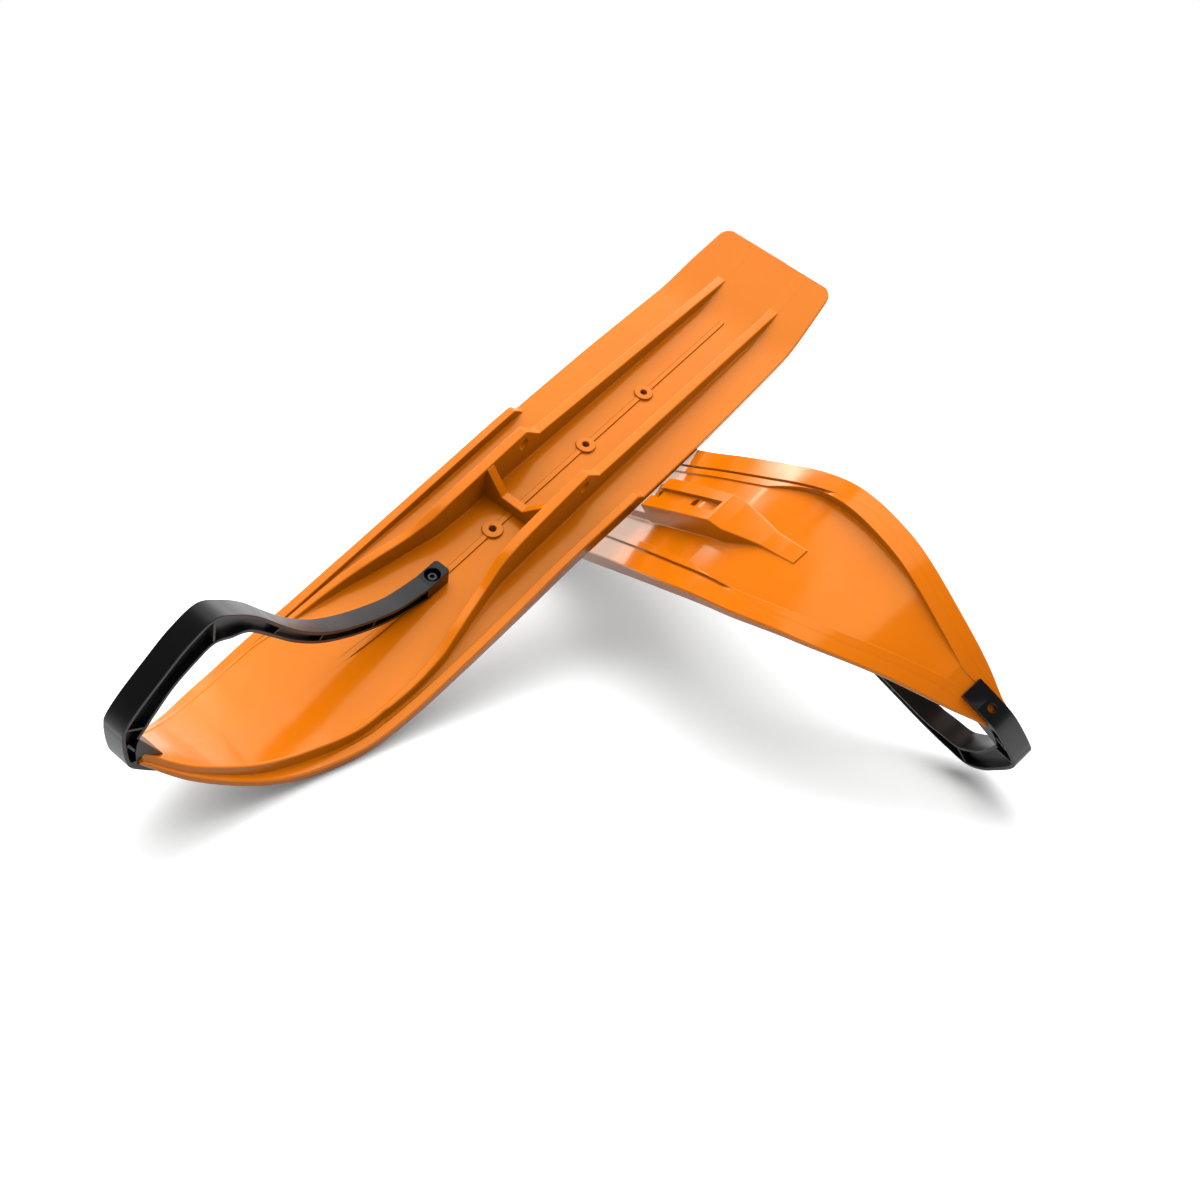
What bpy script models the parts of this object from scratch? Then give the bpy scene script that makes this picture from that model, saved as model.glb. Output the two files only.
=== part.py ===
import math

import bmesh
import bpy
from mathutils import Euler, Matrix, Vector
from mathutils.bvhtree import BVHTree

# A pair of moulded plastic skis with bolted loop handles, one resting upside down under the other.
# Metres throughout. Each ski is drawn in its own frame: +X to the tip, +Z out of the top,
# the cross-bolt over the origin and Z = 0 on the top of the side flanges.
# A station is a distance along the bent running line, forward of the cross-bolt.

# Running line
TAIL_LENGTH = 0.502
KICK_LENGTH = 0.121
KICK_ANGLE = 15.0
BELLY_LENGTH = 0.170
BELLY_ANGLE = 1.5
BEND_START = 0.252
BEND_END = 0.590
BEND_ANGLE = 64.5
TIP_LENGTH = 0.566

# Plan outline: the half width at the heel, and how far the rest draws in from it
HEEL_HALF = 0.0957
TAIL_INSET = 0.0090
WAIST_INSET = 0.0083
TIP_HALF = 0.0120
TAIL_CORNER = 0.016

# Plate
PLATE = 0.0091
TIP_PLATE = 0.0070
EDGE_CUT = 0.0012
RAIL_WIDTH = 0.0097
RAIL_HEIGHT = 0.0136
RAIL_END = 0.0459
RAIL_RAMP = 0.0153

# Channel, its walls and the cross-bolt ears
CHANNEL_HALF = 0.0360
WALL = 0.0123
WALL_DRAFT = 0.0008
REAR_WALL_LOW = 0.0132
REAR_WALL_HIGH = 0.0262
WALL_TAIL = 0.4297
EAR_HEIGHT = 0.0482
EAR_BACK = 0.0040
EAR_RAMP = 0.0253
FRONT_WALL = 0.0402
CROSS_BOLT_RADIUS = 0.0064
CROSS_BOLT_HEIGHT = 0.0313
RIB_HALF = 0.0028
RIB_HEIGHT = 0.0014
RIB_TAIL = 0.3711

# Cross wall with its notch
BULKHEAD_START = 0.0517
BULKHEAD_THICK = 0.0108
BULKHEAD_HEIGHT = 0.0412
NOTCH_HALF = 0.0138
NOTCH_FLOOR = 0.0150

# Wear-bar stud holes and their bosses
STUD_STATIONS = (0.0918, -0.0726, -0.1896)
STUD_RADIUS = 0.0041
BOSS_RADIUS = 0.0113
BOSS_HEIGHT = 0.0031
POCKET_RADIUS = 0.0061
STUD_POCKET = 0.0040
SCREW_POCKET = 0.0052

# Keel under the ski: a deep front block with the wear-bar slot, and a shallow run behind it
KEEL_DEPTH = 0.0302
KEEL_RUN_DEPTH = 0.0172
KEEL_BACK = 0.0880
KEEL_BACK_RAMP = 0.0040
KEEL_HALF = 0.0225
KEEL_NOSE_HALF = 0.0180
KEEL_DRAFT = 0.0040
KEEL_FRONT = 0.2525
KEEL_REAR = 0.2700
KEEL_RAMP = 0.0610
KEEL_RAMP_TOP = 0.0173
KEEL_FADE = 0.1040
SLOT_HALF = 0.0068
SLOT_DEPTH = 0.0045
SLOT_DIP = 0.0050
SLOT_DIP_LENGTH = 0.0400
SLOT_NOSE = 0.0070

# Underside panels
GROOVE_OFFSET = 0.0610
GROOVE_WIDTH = 0.0016
GROOVE_DEPTH = 0.0016
GROOVE_END = 0.340
GROOVE_FADE = 0.020
PANEL_OFFSET = 0.0530
PANEL_STEP = 0.0020
PANEL_SPREAD = 0.080
PAN_RIM = 0.0215

# Front pan, which starts where the side walls turn into its rim
PAN_START = 0.320
TIP_RUN = 0.045

# Rear screw of the loop
SCREW_STATION = 0.1862
SCREW_RADIUS = 0.0030
SCREW_LENGTH = 0.0250
SCREW_CLEARANCE = 0.0003
HEAD_OVER = 0.0020
HEAD_HEIGHT = 0.0060
SOCKET_RADIUS = 0.0028
SOCKET_DEPTH = 0.0030
HEAD_ROOM = 0.0030
COUNTERBORE_DEPTH = 0.0100

# Loop handle
LOOP_HALF = 0.0097
FLANGE = 0.0030
POCKET_DEPTH = 0.0062
CROSS_WEB = 0.0020
FOOT_BACK = 0.0162
FOOT_FORE = 0.0128
FOOT_HEIGHT = 0.0190
FOOT_CORNER = 0.0040
FOOT_PAD = 0.0020
FOOT_LEAD = 0.0060
CREST_AT = 0.4245
HANDLE_TIP = (0.5058, 0.1429)
NOSE_POINTS = ((0.5135, 0.1805), (0.5157, 0.1710), (0.5175, 0.1590), (0.5182, 0.1470))
JAW_LENGTH = 0.0290
JAW_THICK = 0.0045
TONGUE_LENGTH = 0.0220
TONGUE_TIP = 0.0012
TONGUE_ROOT = (0.5032, 0.1665)
WEB_PLACES = (0.05, 2.0, 4.0, 6.0, 9.0, 12.95)
BAR_STEPS = 3
JAW_HOLE_RADIUS = 0.0034
JAW_HOLE_BACK = 0.0078
SEAT_GAP = 0.0003

# How the two skis lie
UPPER_TURN = (-30.89, 23.60, -129.90)
UPPER_PLACE = (-0.0594, 1.0588, 0.1819)
LOWER_TURN = (-143.84, -7.65, -70.90)
LOWER_PLACE = (0.0506, 1.1297, 0.1372)
REST_GAP = 0.0003
LIFT_LIMIT = 0.08

# Drawing steps, and how far joined solids sink in and cutters reach out
STEP = 0.0005
CLOSE_SPACING = 0.012
WIDE_SPACING = 0.040
LEAST_SPACING = 0.009
LINE_SPARE = 0.050
FACETS = 20
ROUND_FACETS = 28
SHARP_ANGLE = 30.0
FLAT_ANGLE = 0.1
SINK = 0.0020
REACH = 0.0040

KICK_START = TAIL_LENGTH - KICK_LENGTH
WAIST_HALF = HEEL_HALF - WAIST_INSET
BULKHEAD_END = BULKHEAD_START + BULKHEAD_THICK
KEEL_TAIL = KEEL_REAR + KEEL_RAMP
SLOT_ROOF = SLOT_DEPTH - KEEL_DEPTH
WALL_OUT = CHANNEL_HALF + WALL
PAN_END = TIP_LENGTH - TIP_RUN
RIM_START = TIP_LENGTH - 0.166
FOOT_REAR = SCREW_STATION - FOOT_BACK
FOOT_FRONT = SCREW_STATION + FOOT_FORE
JAW_START = TIP_LENGTH - JAW_LENGTH
TONGUE_START = TIP_LENGTH - TONGUE_LENGTH
BORE_RADIUS = SCREW_RADIUS + SCREW_CLEARANCE
HEAD_RADIUS = SCREW_RADIUS + HEAD_OVER
COUNTERBORE_RADIUS = HEAD_RADIUS + HEAD_ROOM
COUNTERBORE_SEAT = SEAT_GAP + FOOT_HEIGHT - COUNTERBORE_DEPTH

MATERIALS = {
    "orange_plastic": ((0.90, 0.30, 0.045, 1.0), 0.42, 0.0),
    "black_plastic": ((0.020, 0.020, 0.021, 1.0), 0.45, 0.0),
    "dark_steel": ((0.09, 0.09, 0.09, 1.0), 0.38, 1.0),
}


def clear_scene():
    for item in list(bpy.data.objects):
        bpy.data.objects.remove(item, do_unlink=True)


def new_collection(name):
    group = bpy.data.collections.new(name)
    bpy.context.scene.collection.children.link(group)
    return group


def new_material(name):
    colour, roughness, metallic = MATERIALS[name]
    material = bpy.data.materials.new(name)
    material.use_nodes = True
    shader = material.node_tree.nodes["Principled BSDF"]
    shader.inputs["Base Color"].default_value = colour
    shader.inputs["Roughness"].default_value = roughness
    shader.inputs["Metallic"].default_value = metallic
    material.diffuse_color = colour
    return material


def bracket(path, station):
    for low, high in zip(path, path[1:]):
        if station <= high[0]:
            return low, high
    return path[-2], path[-1]


def straight(path, station):
    # Value read from a path of (station, value) points joined by straight runs
    low, high = bracket(path, station)
    share = (station - low[0]) / (high[0] - low[0])
    return low[1] + (high[1] - low[1]) * min(1.0, max(0.0, share))


def smooth(path, station):
    # The same path as one smooth curve that never overshoots its points
    slopes = [(b[1] - a[1]) / (b[0] - a[0]) for a, b in zip(path, path[1:])]
    tangents = [slopes[0]]
    for before, after in zip(slopes, slopes[1:]):
        steady = before * after > 0.0
        tangents.append(2.0 * before * after / (before + after) if steady else 0.0)
    tangents.append(slopes[-1])
    index = next((i for i in range(len(slopes)) if station <= path[i + 1][0]), len(slopes) - 1)
    low, high = path[index], path[index + 1]
    span = high[0] - low[0]
    t = min(1.0, max(0.0, (station - low[0]) / span))
    rise = (high[1] - low[1]) * t * t * (3.0 - 2.0 * t)
    lead = span * tangents[index] * t * (1.0 - t) ** 2
    trail = span * tangents[index + 1] * t * t * (1.0 - t)
    return low[1] + rise + lead - trail


# Running line

def heading(station):
    # Slope of the running line, in radians
    share = min(1.0, max(0.0, (station - BEND_START) / (BEND_END - BEND_START)))
    angle = BEND_ANGLE * share * share * (3.0 - 2.0 * share)
    if 0.0 < station < BELLY_LENGTH:
        angle -= BELLY_ANGLE * math.sin(math.pi * station / BELLY_LENGTH) ** 2
    return math.radians(angle)


def trace_line():
    points = [(0.0, 0.0, 0.0)]
    for index in range(1, round((TIP_LENGTH + LINE_SPARE) / STEP) + 1):
        station = index * STEP
        angle = heading(station - STEP / 2.0)
        x = points[-1][1] + STEP * math.cos(angle)
        z = points[-1][2] + STEP * math.sin(angle)
        points.append((station, x, z))
    return points


LINE = trace_line()


def kick_rise(station):
    # The tail plate tips up behind the kick while the side walls run on level
    return max(0.0, -KICK_START - station) * math.tan(math.radians(KICK_ANGLE))


def ski_point(station, height, side=0.0):
    # Point at a height over the plate, square to the running line
    if station <= 0.0:
        return Vector((station, side, height + kick_rise(station)))
    index = min(len(LINE) - 2, int(station / STEP))
    low, high = LINE[index], LINE[index + 1]
    share = (station - low[0]) / STEP
    angle = heading(station)
    x = low[1] + (high[1] - low[1]) * share - math.sin(angle) * height
    z = low[2] + (high[2] - low[2]) * share + math.cos(angle) * height
    return Vector((x, side, z))


def ski_turn(station):
    # Turn that lays a piece square to the plate at a station
    return Matrix.Rotation(-heading(station), 4, "Y")


# Section of the ski: every value is read at a station

HALF_PATH = [
    (-TAIL_LENGTH, HEEL_HALF - TAIL_INSET),
    (-KICK_START, HEEL_HALF - 0.0005),
    (-0.240, HEEL_HALF),
    (-0.040, HEEL_HALF - 0.0030),
    (0.080, WAIST_HALF + 0.0015),
    (0.180, WAIST_HALF),
    (0.260, WAIST_HALF - 0.0020),
    (0.340, WAIST_HALF - 0.0060),
    (TIP_LENGTH - 0.146, WAIST_HALF - 0.0221),
    (TIP_LENGTH - 0.066, WAIST_HALF - 0.0509),
    (TIP_LENGTH, TIP_HALF + 0.0010),
]
RAIL_PATH = [
    (-RAIL_END - RAIL_RAMP, 0.0),
    (-RAIL_END, RAIL_HEIGHT),
    (0.100, 0.0118),
    (0.200, 0.0069),
    (0.300, 0.0045),
    (TIP_LENGTH - 0.186, 0.0014),
    (TIP_LENGTH - 0.106, -0.0031),
    (TIP_LENGTH, -0.0036),
]
WALL_PATH = [
    (-WALL_TAIL, REAR_WALL_LOW),
    (-EAR_BACK - EAR_RAMP, REAR_WALL_HIGH),
    (-EAR_BACK, EAR_HEIGHT),
    (0.100, FRONT_WALL),
    (0.130, 0.0360),
    (0.150, 0.0290),
    (0.172, 0.0238),
    (0.200, 0.0222),
    (0.222, 0.0196),
    (0.240, 0.0160),
    (0.262, 0.0138),
    (0.290, 0.0126),
    (RIM_START, 0.0128),
    (TIP_LENGTH - 0.146, 0.0110),
    (TIP_LENGTH - 0.126, 0.0086),
    (TIP_LENGTH - 0.106, 0.0062),
    (TIP_LENGTH - 0.076, 0.0040),
    (TIP_LENGTH - 0.046, 0.0016),
    (TIP_LENGTH, 0.0009),
]
FLOOR_PATH = [
    (0.225, 0.0),
    (0.262, 0.0026),
    (0.290, 0.0066),
    (0.320, 0.0108),
    (0.350, 0.0121),
    (RIM_START, 0.0124),
]
WALL_OUT_PATH = [
    (0.100, WALL_OUT),
    (0.135, WALL_OUT + 0.0006),
    (0.160, WALL_OUT + 0.0036),
    (0.190, WALL_OUT + 0.0090),
    (0.220, WALL_OUT + 0.0148),
    (0.250, WALL_OUT + 0.0196),
    (0.285, WALL_OUT + 0.0208),
    (PAN_START, WALL_OUT + 0.0196),
]
WALL_IN_PATH = [
    (0.100, CHANNEL_HALF),
    (0.135, CHANNEL_HALF + 0.0016),
    (0.160, CHANNEL_HALF + 0.0060),
    (0.190, CHANNEL_HALF + 0.0112),
    (0.220, CHANNEL_HALF + 0.0170),
    (0.250, CHANNEL_HALF + 0.0226),
    (0.285, CHANNEL_HALF + 0.0256),
    (PAN_START, CHANNEL_HALF + 0.0262),
]
SHOULDER_PATH = [
    (PAN_START, 0.0160),
    (PAN_START + 0.030, 0.0140),
    (TIP_LENGTH - 0.136, 0.0118),
    (TIP_LENGTH - 0.106, 0.0090),
    (TIP_LENGTH - 0.076, 0.0066),
    (TIP_LENGTH - 0.036, 0.0040),
    (TIP_LENGTH, 0.0030),
]
PAN_PATH = [
    (PAN_START - PANEL_SPREAD, -PLATE + PANEL_STEP),
    (0.300, -0.0030),
    (0.335, 0.0020),
    (0.370, 0.0040),
    (TIP_LENGTH - 0.146, 0.0026),
    (TIP_LENGTH - 0.106, -0.0020),
    (TIP_LENGTH - 0.066, -0.0058),
    (PAN_END, -0.0086),
]
KEEL_HALF_PATH = [
    (-KEEL_TAIL, KEEL_HALF * 0.5),
    (-KEEL_REAR, KEEL_HALF),
    (0.090, KEEL_HALF),
    (KEEL_FRONT, KEEL_NOSE_HALF),
    (KEEL_FRONT + KEEL_RAMP_TOP, KEEL_NOSE_HALF),
    (KEEL_FRONT + KEEL_RAMP, KEEL_NOSE_HALF - 0.0085),
    (KEEL_FRONT + KEEL_FADE, KEEL_NOSE_HALF - 0.0100),
]
KEEL_PATH = [
    (-KEEL_TAIL, PLATE - PANEL_STEP),
    (-KEEL_REAR, KEEL_RUN_DEPTH),
    (KEEL_BACK - KEEL_BACK_RAMP, KEEL_RUN_DEPTH),
    (KEEL_BACK, KEEL_DEPTH),
    (KEEL_FRONT, KEEL_DEPTH),
    (KEEL_FRONT + KEEL_RAMP_TOP, KEEL_DEPTH - 0.0087),
    (KEEL_FRONT + KEEL_RAMP, 0.0043),
    (KEEL_FRONT + KEEL_FADE - 0.0200, -0.0010),
    (KEEL_FRONT + KEEL_FADE, -0.0045),
]
RIB_PATH = [
    (-RIB_TAIL - 0.0004, 0.0),
    (-RIB_TAIL, 1.0),
    (FOOT_REAR - FOOT_PAD - 0.0004, 1.0),
    (FOOT_REAR - FOOT_PAD, 0.0),
    (FOOT_FRONT + FOOT_LEAD, 0.0),
    (FOOT_FRONT + FOOT_LEAD + 0.0004, 1.0),
    (0.290, 1.0),
    (0.310, 0.0),
]


def half_width(station):
    if station > PAN_END:
        # The tip closes on a round nose
        full = smooth(HALF_PATH, PAN_END)
        last = smooth(HALF_PATH, station)
        share = (station - PAN_END) / (TIP_LENGTH - PAN_END)
        return min(full, last) - (last - TIP_HALF) * share ** 4
    inset = TAIL_LENGTH + station
    cut = 0.0
    if inset < TAIL_CORNER:
        cut = TAIL_CORNER - math.sqrt(TAIL_CORNER ** 2 - (TAIL_CORNER - inset) ** 2)
    return smooth(HALF_PATH, station) - cut


def plate_depth(station):
    share = min(1.0, max(0.0, (station - PAN_END) / (TIP_LENGTH - PAN_END)))
    return PLATE + (TIP_PLATE - PLATE) * share


def wall_height(station):
    height = straight(WALL_PATH, station)
    if station < -KICK_START:
        height -= kick_rise(station)
    return max(height, floor_height(station) + 0.0001)


def floor_height(station):
    if station > RIM_START:
        return straight(WALL_PATH, station) - 0.0002
    return smooth(FLOOR_PATH, station)


def wall_edges(station, half):
    # Outer and inner half widths of the wall, which turns into the rim of the front pan
    if station <= PAN_START:
        return smooth(WALL_OUT_PATH, station), smooth(WALL_IN_PATH, station)
    outer = half - smooth(SHOULDER_PATH, station)
    start = smooth(WALL_IN_PATH, PAN_START)
    return outer, min(start, outer - 0.0030)


def underside(station, half):
    # Half width and height of the recessed panel, which spreads out to the rim of the pan
    share = min(1.0, max(0.0, (station - PAN_START + PANEL_SPREAD) / PANEL_SPREAD))
    panel = PANEL_OFFSET + (half - PAN_RIM - PANEL_OFFSET) * share
    return max(0.0064, panel), smooth(PAN_PATH, station)


def section(station):
    # Outline of one side, from the middle of the underside round to the middle of the top
    half = half_width(station)
    depth = plate_depth(station)
    low = -depth
    rail = straight(RAIL_PATH, station)
    flange = min(0.0, rail)
    outer, inner = wall_edges(station, half)
    wall = wall_height(station)
    floor = floor_height(station)
    panel, roof = underside(station, half)
    if station > PAN_END:
        roof = low + 0.0005
        panel = min(panel, half * 0.5)
    keel = min(roof, -straight(KEEL_PATH, station))
    keel_half = min(straight(KEEL_HALF_PATH, station), half * 0.25)
    draft = min(KEEL_DRAFT * (0.1 + (roof - keel) / KEEL_DEPTH), half * 0.1)
    rim = half - panel
    groove_in = min(GROOVE_OFFSET, panel + rim * 0.35)
    groove_out = min(groove_in + GROOVE_WIDTH, panel + rim * 0.5)
    groove_top = low + GROOVE_DEPTH * min(1.0, max(0.02, (GROOVE_END - station) / GROOVE_FADE))
    cut = min(EDGE_CUT, half * 0.08)
    rail_width = min(RAIL_WIDTH, (half - outer) * 0.8)
    rib = min(RIB_HALF, half * 0.08)
    rib_top = floor + RIB_HEIGHT * max(0.05, straight(RIB_PATH, station))
    return [
        (0.0, keel),
        (keel_half, keel),
        (keel_half + draft, roof),
        (panel - 0.0003, roof),
        (panel, low),
        (groove_in, low),
        (groove_in + 0.0001, groove_top),
        (groove_out - 0.0001, groove_top),
        (groove_out, low),
        (half - cut, low),
        (half, low + cut),
        (half, rail - cut),
        (half - cut, rail),
        (half - rail_width, rail),
        (half - rail_width - 0.0004, flange),
        (outer + WALL_DRAFT * 0.5, flange),
        (outer - WALL_DRAFT * 0.5, wall),
        (inner + WALL_DRAFT * 0.5, wall),
        (inner - WALL_DRAFT * 0.5, floor),
        (rib + 0.0003, floor),
        (rib, rib_top),
        (0.0, rib_top),
    ]


def ski_stations():
    # Even spacing, closer round the bend, with a station at every change of shape
    marks = [TAIL_CORNER * (1.0 - math.cos(math.radians(turn))) - TAIL_LENGTH for turn in (25, 45, 65, 90)]
    marks += [-TAIL_LENGTH, -KICK_START, PAN_END, PAN_END + 0.0004]
    marks += [TIP_LENGTH, TIP_LENGTH - 0.001, TIP_LENGTH - 0.004, TIP_LENGTH - 0.009, TIP_LENGTH - 0.018]
    for path in (RAIL_PATH, WALL_PATH, KEEL_PATH, WALL_OUT_PATH, RIB_PATH):
        marks += [point[0] for point in path]
    station = -KICK_START
    while station < PAN_END:
        near = min(abs(station - mark) for mark in marks)
        if near > LEAST_SPACING:
            marks.append(station)
        station += CLOSE_SPACING if station > BEND_START - CLOSE_SPACING else WIDE_SPACING
    return sorted(set(round(mark, 5) for mark in marks))


def loft_ski(group, name):
    # One half is lofted by hand because its sections are unlike, and a mirror makes the other
    shape = bmesh.new()
    rows = []
    for station in ski_stations():
        row = [shape.verts.new(ski_point(station, height, side)) for side, height in section(station)]
        rows.append(row)
    for before, after in zip(rows, rows[1:]):
        for index in range(len(before) - 1):
            shape.faces.new((before[index], before[index + 1], after[index + 1], after[index]))
    shape.faces.new(rows[0])
    shape.faces.new(list(reversed(rows[-1])))
    mesh = bpy.data.meshes.new(name)
    shape.to_mesh(mesh)
    shape.free()
    item = bpy.data.objects.new(name, mesh)
    group.objects.link(item)
    mirror = item.modifiers.new("other side", "MIRROR")
    mirror.use_axis = (False, True, False)
    mirror.use_clip = True
    mirror.merge_threshold = 0.00001
    return item


# Helpers for solids and cuts

def bake(item):
    # Replace an object's mesh with its modified one
    depsgraph = bpy.context.evaluated_depsgraph_get()
    mesh = bpy.data.meshes.new_from_object(item.evaluated_get(depsgraph))
    item.modifiers.clear()
    item.data = mesh
    shape = bmesh.new()
    shape.from_mesh(mesh)
    bmesh.ops.remove_doubles(shape, verts=shape.verts, dist=0.00001)
    bmesh.ops.dissolve_degenerate(shape, edges=shape.edges, dist=0.00001)
    bmesh.ops.recalc_face_normals(shape, faces=shape.faces)
    shape.to_mesh(mesh)
    shape.free()
    return item


def as_guide(item):
    item.hide_render = True
    item.display_type = "WIRE"
    return item


def cylinder(group, name, radius, low, high, place, turn=None, facets=FACETS):
    # Upright cylinder from one height to another, then turned and placed
    shape = bmesh.new()
    bmesh.ops.create_cone(shape, cap_ends=True, segments=facets, radius1=radius, radius2=radius, depth=high - low)
    bmesh.ops.translate(shape, verts=shape.verts, vec=(0.0, 0.0, (low + high) / 2.0))
    matrix = Matrix.Translation(place) @ (turn or Matrix.Identity(4))
    bmesh.ops.transform(shape, matrix=matrix, verts=shape.verts)
    mesh = bpy.data.meshes.new(name)
    shape.to_mesh(mesh)
    shape.free()
    item = bpy.data.objects.new(name, mesh)
    group.objects.link(item)
    return item


def slab(group, name, outline, low, high, plane):
    # Closed outline drawn in XZ, YZ or XY and drawn out along the third axis
    curve = bpy.data.curves.new(name, "CURVE")
    curve.dimensions = "2D"
    curve.fill_mode = "BOTH"
    curve.extrude = (high - low) / 2.0
    spline = curve.splines.new("POLY")
    spline.points.add(len(outline) - 1)
    for point, place in zip(spline.points, outline):
        point.co = (place[0], place[1], 0.0, 1.0)
    spline.use_cyclic_u = True
    drawn = bpy.data.objects.new(name + " outline", curve)
    group.objects.link(drawn)
    depsgraph = bpy.context.evaluated_depsgraph_get()
    mesh = bpy.data.meshes.new_from_object(drawn.evaluated_get(depsgraph))
    bpy.data.objects.remove(drawn, do_unlink=True)
    middle = (low + high) / 2.0
    frames = {
        "XZ": Matrix(((1, 0, 0, 0), (0, 0, -1, middle), (0, 1, 0, 0), (0, 0, 0, 1))),
        "YZ": Matrix(((0, 0, 1, middle), (1, 0, 0, 0), (0, 1, 0, 0), (0, 0, 0, 1))),
        "XY": Matrix.Translation((0.0, 0.0, middle)),
    }
    mesh.transform(frames[plane])
    shape = bmesh.new()
    shape.from_mesh(mesh)
    bmesh.ops.remove_doubles(shape, verts=shape.verts, dist=0.00001)
    flat = math.radians(FLAT_ANGLE)
    bmesh.ops.dissolve_limit(shape, angle_limit=flat, verts=shape.verts, edges=shape.edges)
    bmesh.ops.recalc_face_normals(shape, faces=shape.faces)
    shape.to_mesh(mesh)
    shape.free()
    item = bpy.data.objects.new(name, mesh)
    group.objects.link(item)
    return item


def combine(item, others, operation):
    for other in others:
        as_guide(other)
        cut = item.modifiers.new(other.name, "BOOLEAN")
        cut.operation = operation
        cut.solver = "EXACT"
        cut.object = other
    return bake(item)


# Ski body

def bulkhead(guides):
    # Cross wall whose top sits just under the side walls
    reach = CHANNEL_HALF + WALL / 2.0
    edge = CHANNEL_HALF - WALL_DRAFT
    outline = [
        (-reach, -SINK),
        (reach, -SINK),
        (reach, BULKHEAD_HEIGHT),
        (edge, BULKHEAD_HEIGHT),
        (NOTCH_HALF, NOTCH_FLOOR),
        (-NOTCH_HALF, NOTCH_FLOOR),
        (-edge, BULKHEAD_HEIGHT),
        (-reach, BULKHEAD_HEIGHT),
    ]
    return slab(guides, "bulkhead", outline, BULKHEAD_START, BULKHEAD_END, "YZ")


def bosses(guides):
    parts = []
    for index, station in enumerate(STUD_STATIONS):
        place = ski_point(station, 0.0)
        parts.append(cylinder(guides, f"boss {index}", BOSS_RADIUS, -SINK, BOSS_HEIGHT, place, ski_turn(station)))
    return parts


def keel_slot(guides):
    # Slot along the bottom of the keel, open at the back and dipping deeper at its nose
    nose = KEEL_FRONT - SLOT_NOSE
    back = KEEL_BACK - KEEL_BACK_RAMP - REACH
    mouth = -KEEL_DEPTH - REACH
    even = nose - SLOT_DIP_LENGTH - back
    along = [(back, mouth)]
    along += [(back + even * index / 4.0, SLOT_ROOF) for index in range(5)]
    along += [(nose, SLOT_ROOF + SLOT_DIP), (nose, mouth)]
    outline = [ski_point(station, height).xz for station, height in along]
    return slab(guides, "keel slot", outline, -SLOT_HALF, SLOT_HALF, "XZ")


def upright_cuts(guides, name, station, radius, seat, depth):
    # A hole right through the ski with a wider round pocket under it
    place = ski_point(station, 0.0)
    turn = ski_turn(station)
    hole = cylinder(guides, f"{name} hole", radius, -KEEL_DEPTH - REACH, BOSS_HEIGHT + REACH, place, turn)
    pocket = cylinder(guides, f"{name} pocket", POCKET_RADIUS, seat - REACH, seat + depth, place, turn)
    return [hole, pocket]


def stud_cuts(guides):
    cuts = []
    for index, station in enumerate(STUD_STATIONS):
        seat = SLOT_ROOF if station > KEEL_BACK else -KEEL_RUN_DEPTH
        cuts += upright_cuts(guides, f"stud {index}", station, STUD_RADIUS, seat, STUD_POCKET)
    return cuts


def screw_cuts(guides):
    return upright_cuts(guides, "screw", SCREW_STATION, BORE_RADIUS, SLOT_ROOF, SCREW_POCKET)


def cross_bolt_cut(guides):
    lie = Matrix.Rotation(math.radians(90.0), 4, "X")
    place = (0.0, 0.0, CROSS_BOLT_HEIGHT)
    side = WALL_OUT + REACH
    return cylinder(guides, "cross bolt hole", CROSS_BOLT_RADIUS, -side, side, place, lie, ROUND_FACETS)


def make_ski(guides):
    ski = loft_ski(guides, "ski blank")
    bake(ski)
    combine(ski, [bulkhead(guides)] + bosses(guides), "UNION")
    combine(ski, [keel_slot(guides)], "DIFFERENCE")
    combine(ski, stud_cuts(guides) + screw_cuts(guides) + [cross_bolt_cut(guides)], "DIFFERENCE")
    return as_guide(ski)


# Loop handle

def handle_points():
    # Points across the bar in pairs, outer edge first, from the front of the foot to the nose.
    # They are drawn for a tip at HANDLE_TIP, and the rise stretches to follow the real tip.
    floor = foot_height()
    top = floor + FOOT_HEIGHT
    pairs = [
        ((FOOT_FRONT, top), (FOOT_FRONT, floor)),
        ((0.2400, 0.0290), (0.2460, 0.0175)),
        ((0.2720, 0.0478), (0.2800, 0.0375)),
        ((0.3040, 0.0715), (0.3120, 0.0620)),
        ((0.3330, 0.0990), (0.3420, 0.0915)),
        ((0.3560, 0.1300), (0.3660, 0.1240)),
        ((0.3720, 0.1580), (0.3850, 0.1570)),
        ((0.3910, 0.1940), (0.4020, 0.1850)),
        ((0.4080, 0.2170), (0.4170, 0.1955)),
        ((0.4245, 0.2312), (0.4305, 0.2042)),
        ((0.4480, 0.2265), (0.4460, 0.2010)),
        ((0.4710, 0.2146), (0.4670, 0.1926)),
        ((0.4960, 0.2000), (0.4860, 0.1796)),
        ((0.5098, 0.1888), (0.4965, 0.1712)),
    ]
    return [(follow_tip(outer), follow_tip(inner)) for outer, inner in pairs]


def follow_tip(point):
    tip = ski_point(TIP_LENGTH, 0.0)
    share = min(1.0, max(0.0, (point[0] - FOOT_FRONT) / (CREST_AT - FOOT_FRONT)))
    x = point[0] + share * (tip.x - HANDLE_TIP[0])
    z = point[1] + share * (tip.z - HANDLE_TIP[1])
    return Vector((x, z))


def foot_height():
    return ski_point(SCREW_STATION, SEAT_GAP).z


def through(points, place):
    # Smooth curve through the points, read at a place counted in points
    index = min(len(points) - 2, int(place))
    t = place - index
    before = points[max(0, index - 1)]
    low = points[index]
    high = points[index + 1]
    after = points[min(len(points) - 1, index + 2)]
    lead = (high - before) * 0.5
    trail = (after - low) * 0.5
    run = low * (2 * t ** 3 - 3 * t ** 2 + 1) + high * (3 * t ** 2 - 2 * t ** 3)
    return run + lead * (t ** 3 - 2 * t ** 2 + t) + trail * (t ** 3 - t ** 2)


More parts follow.
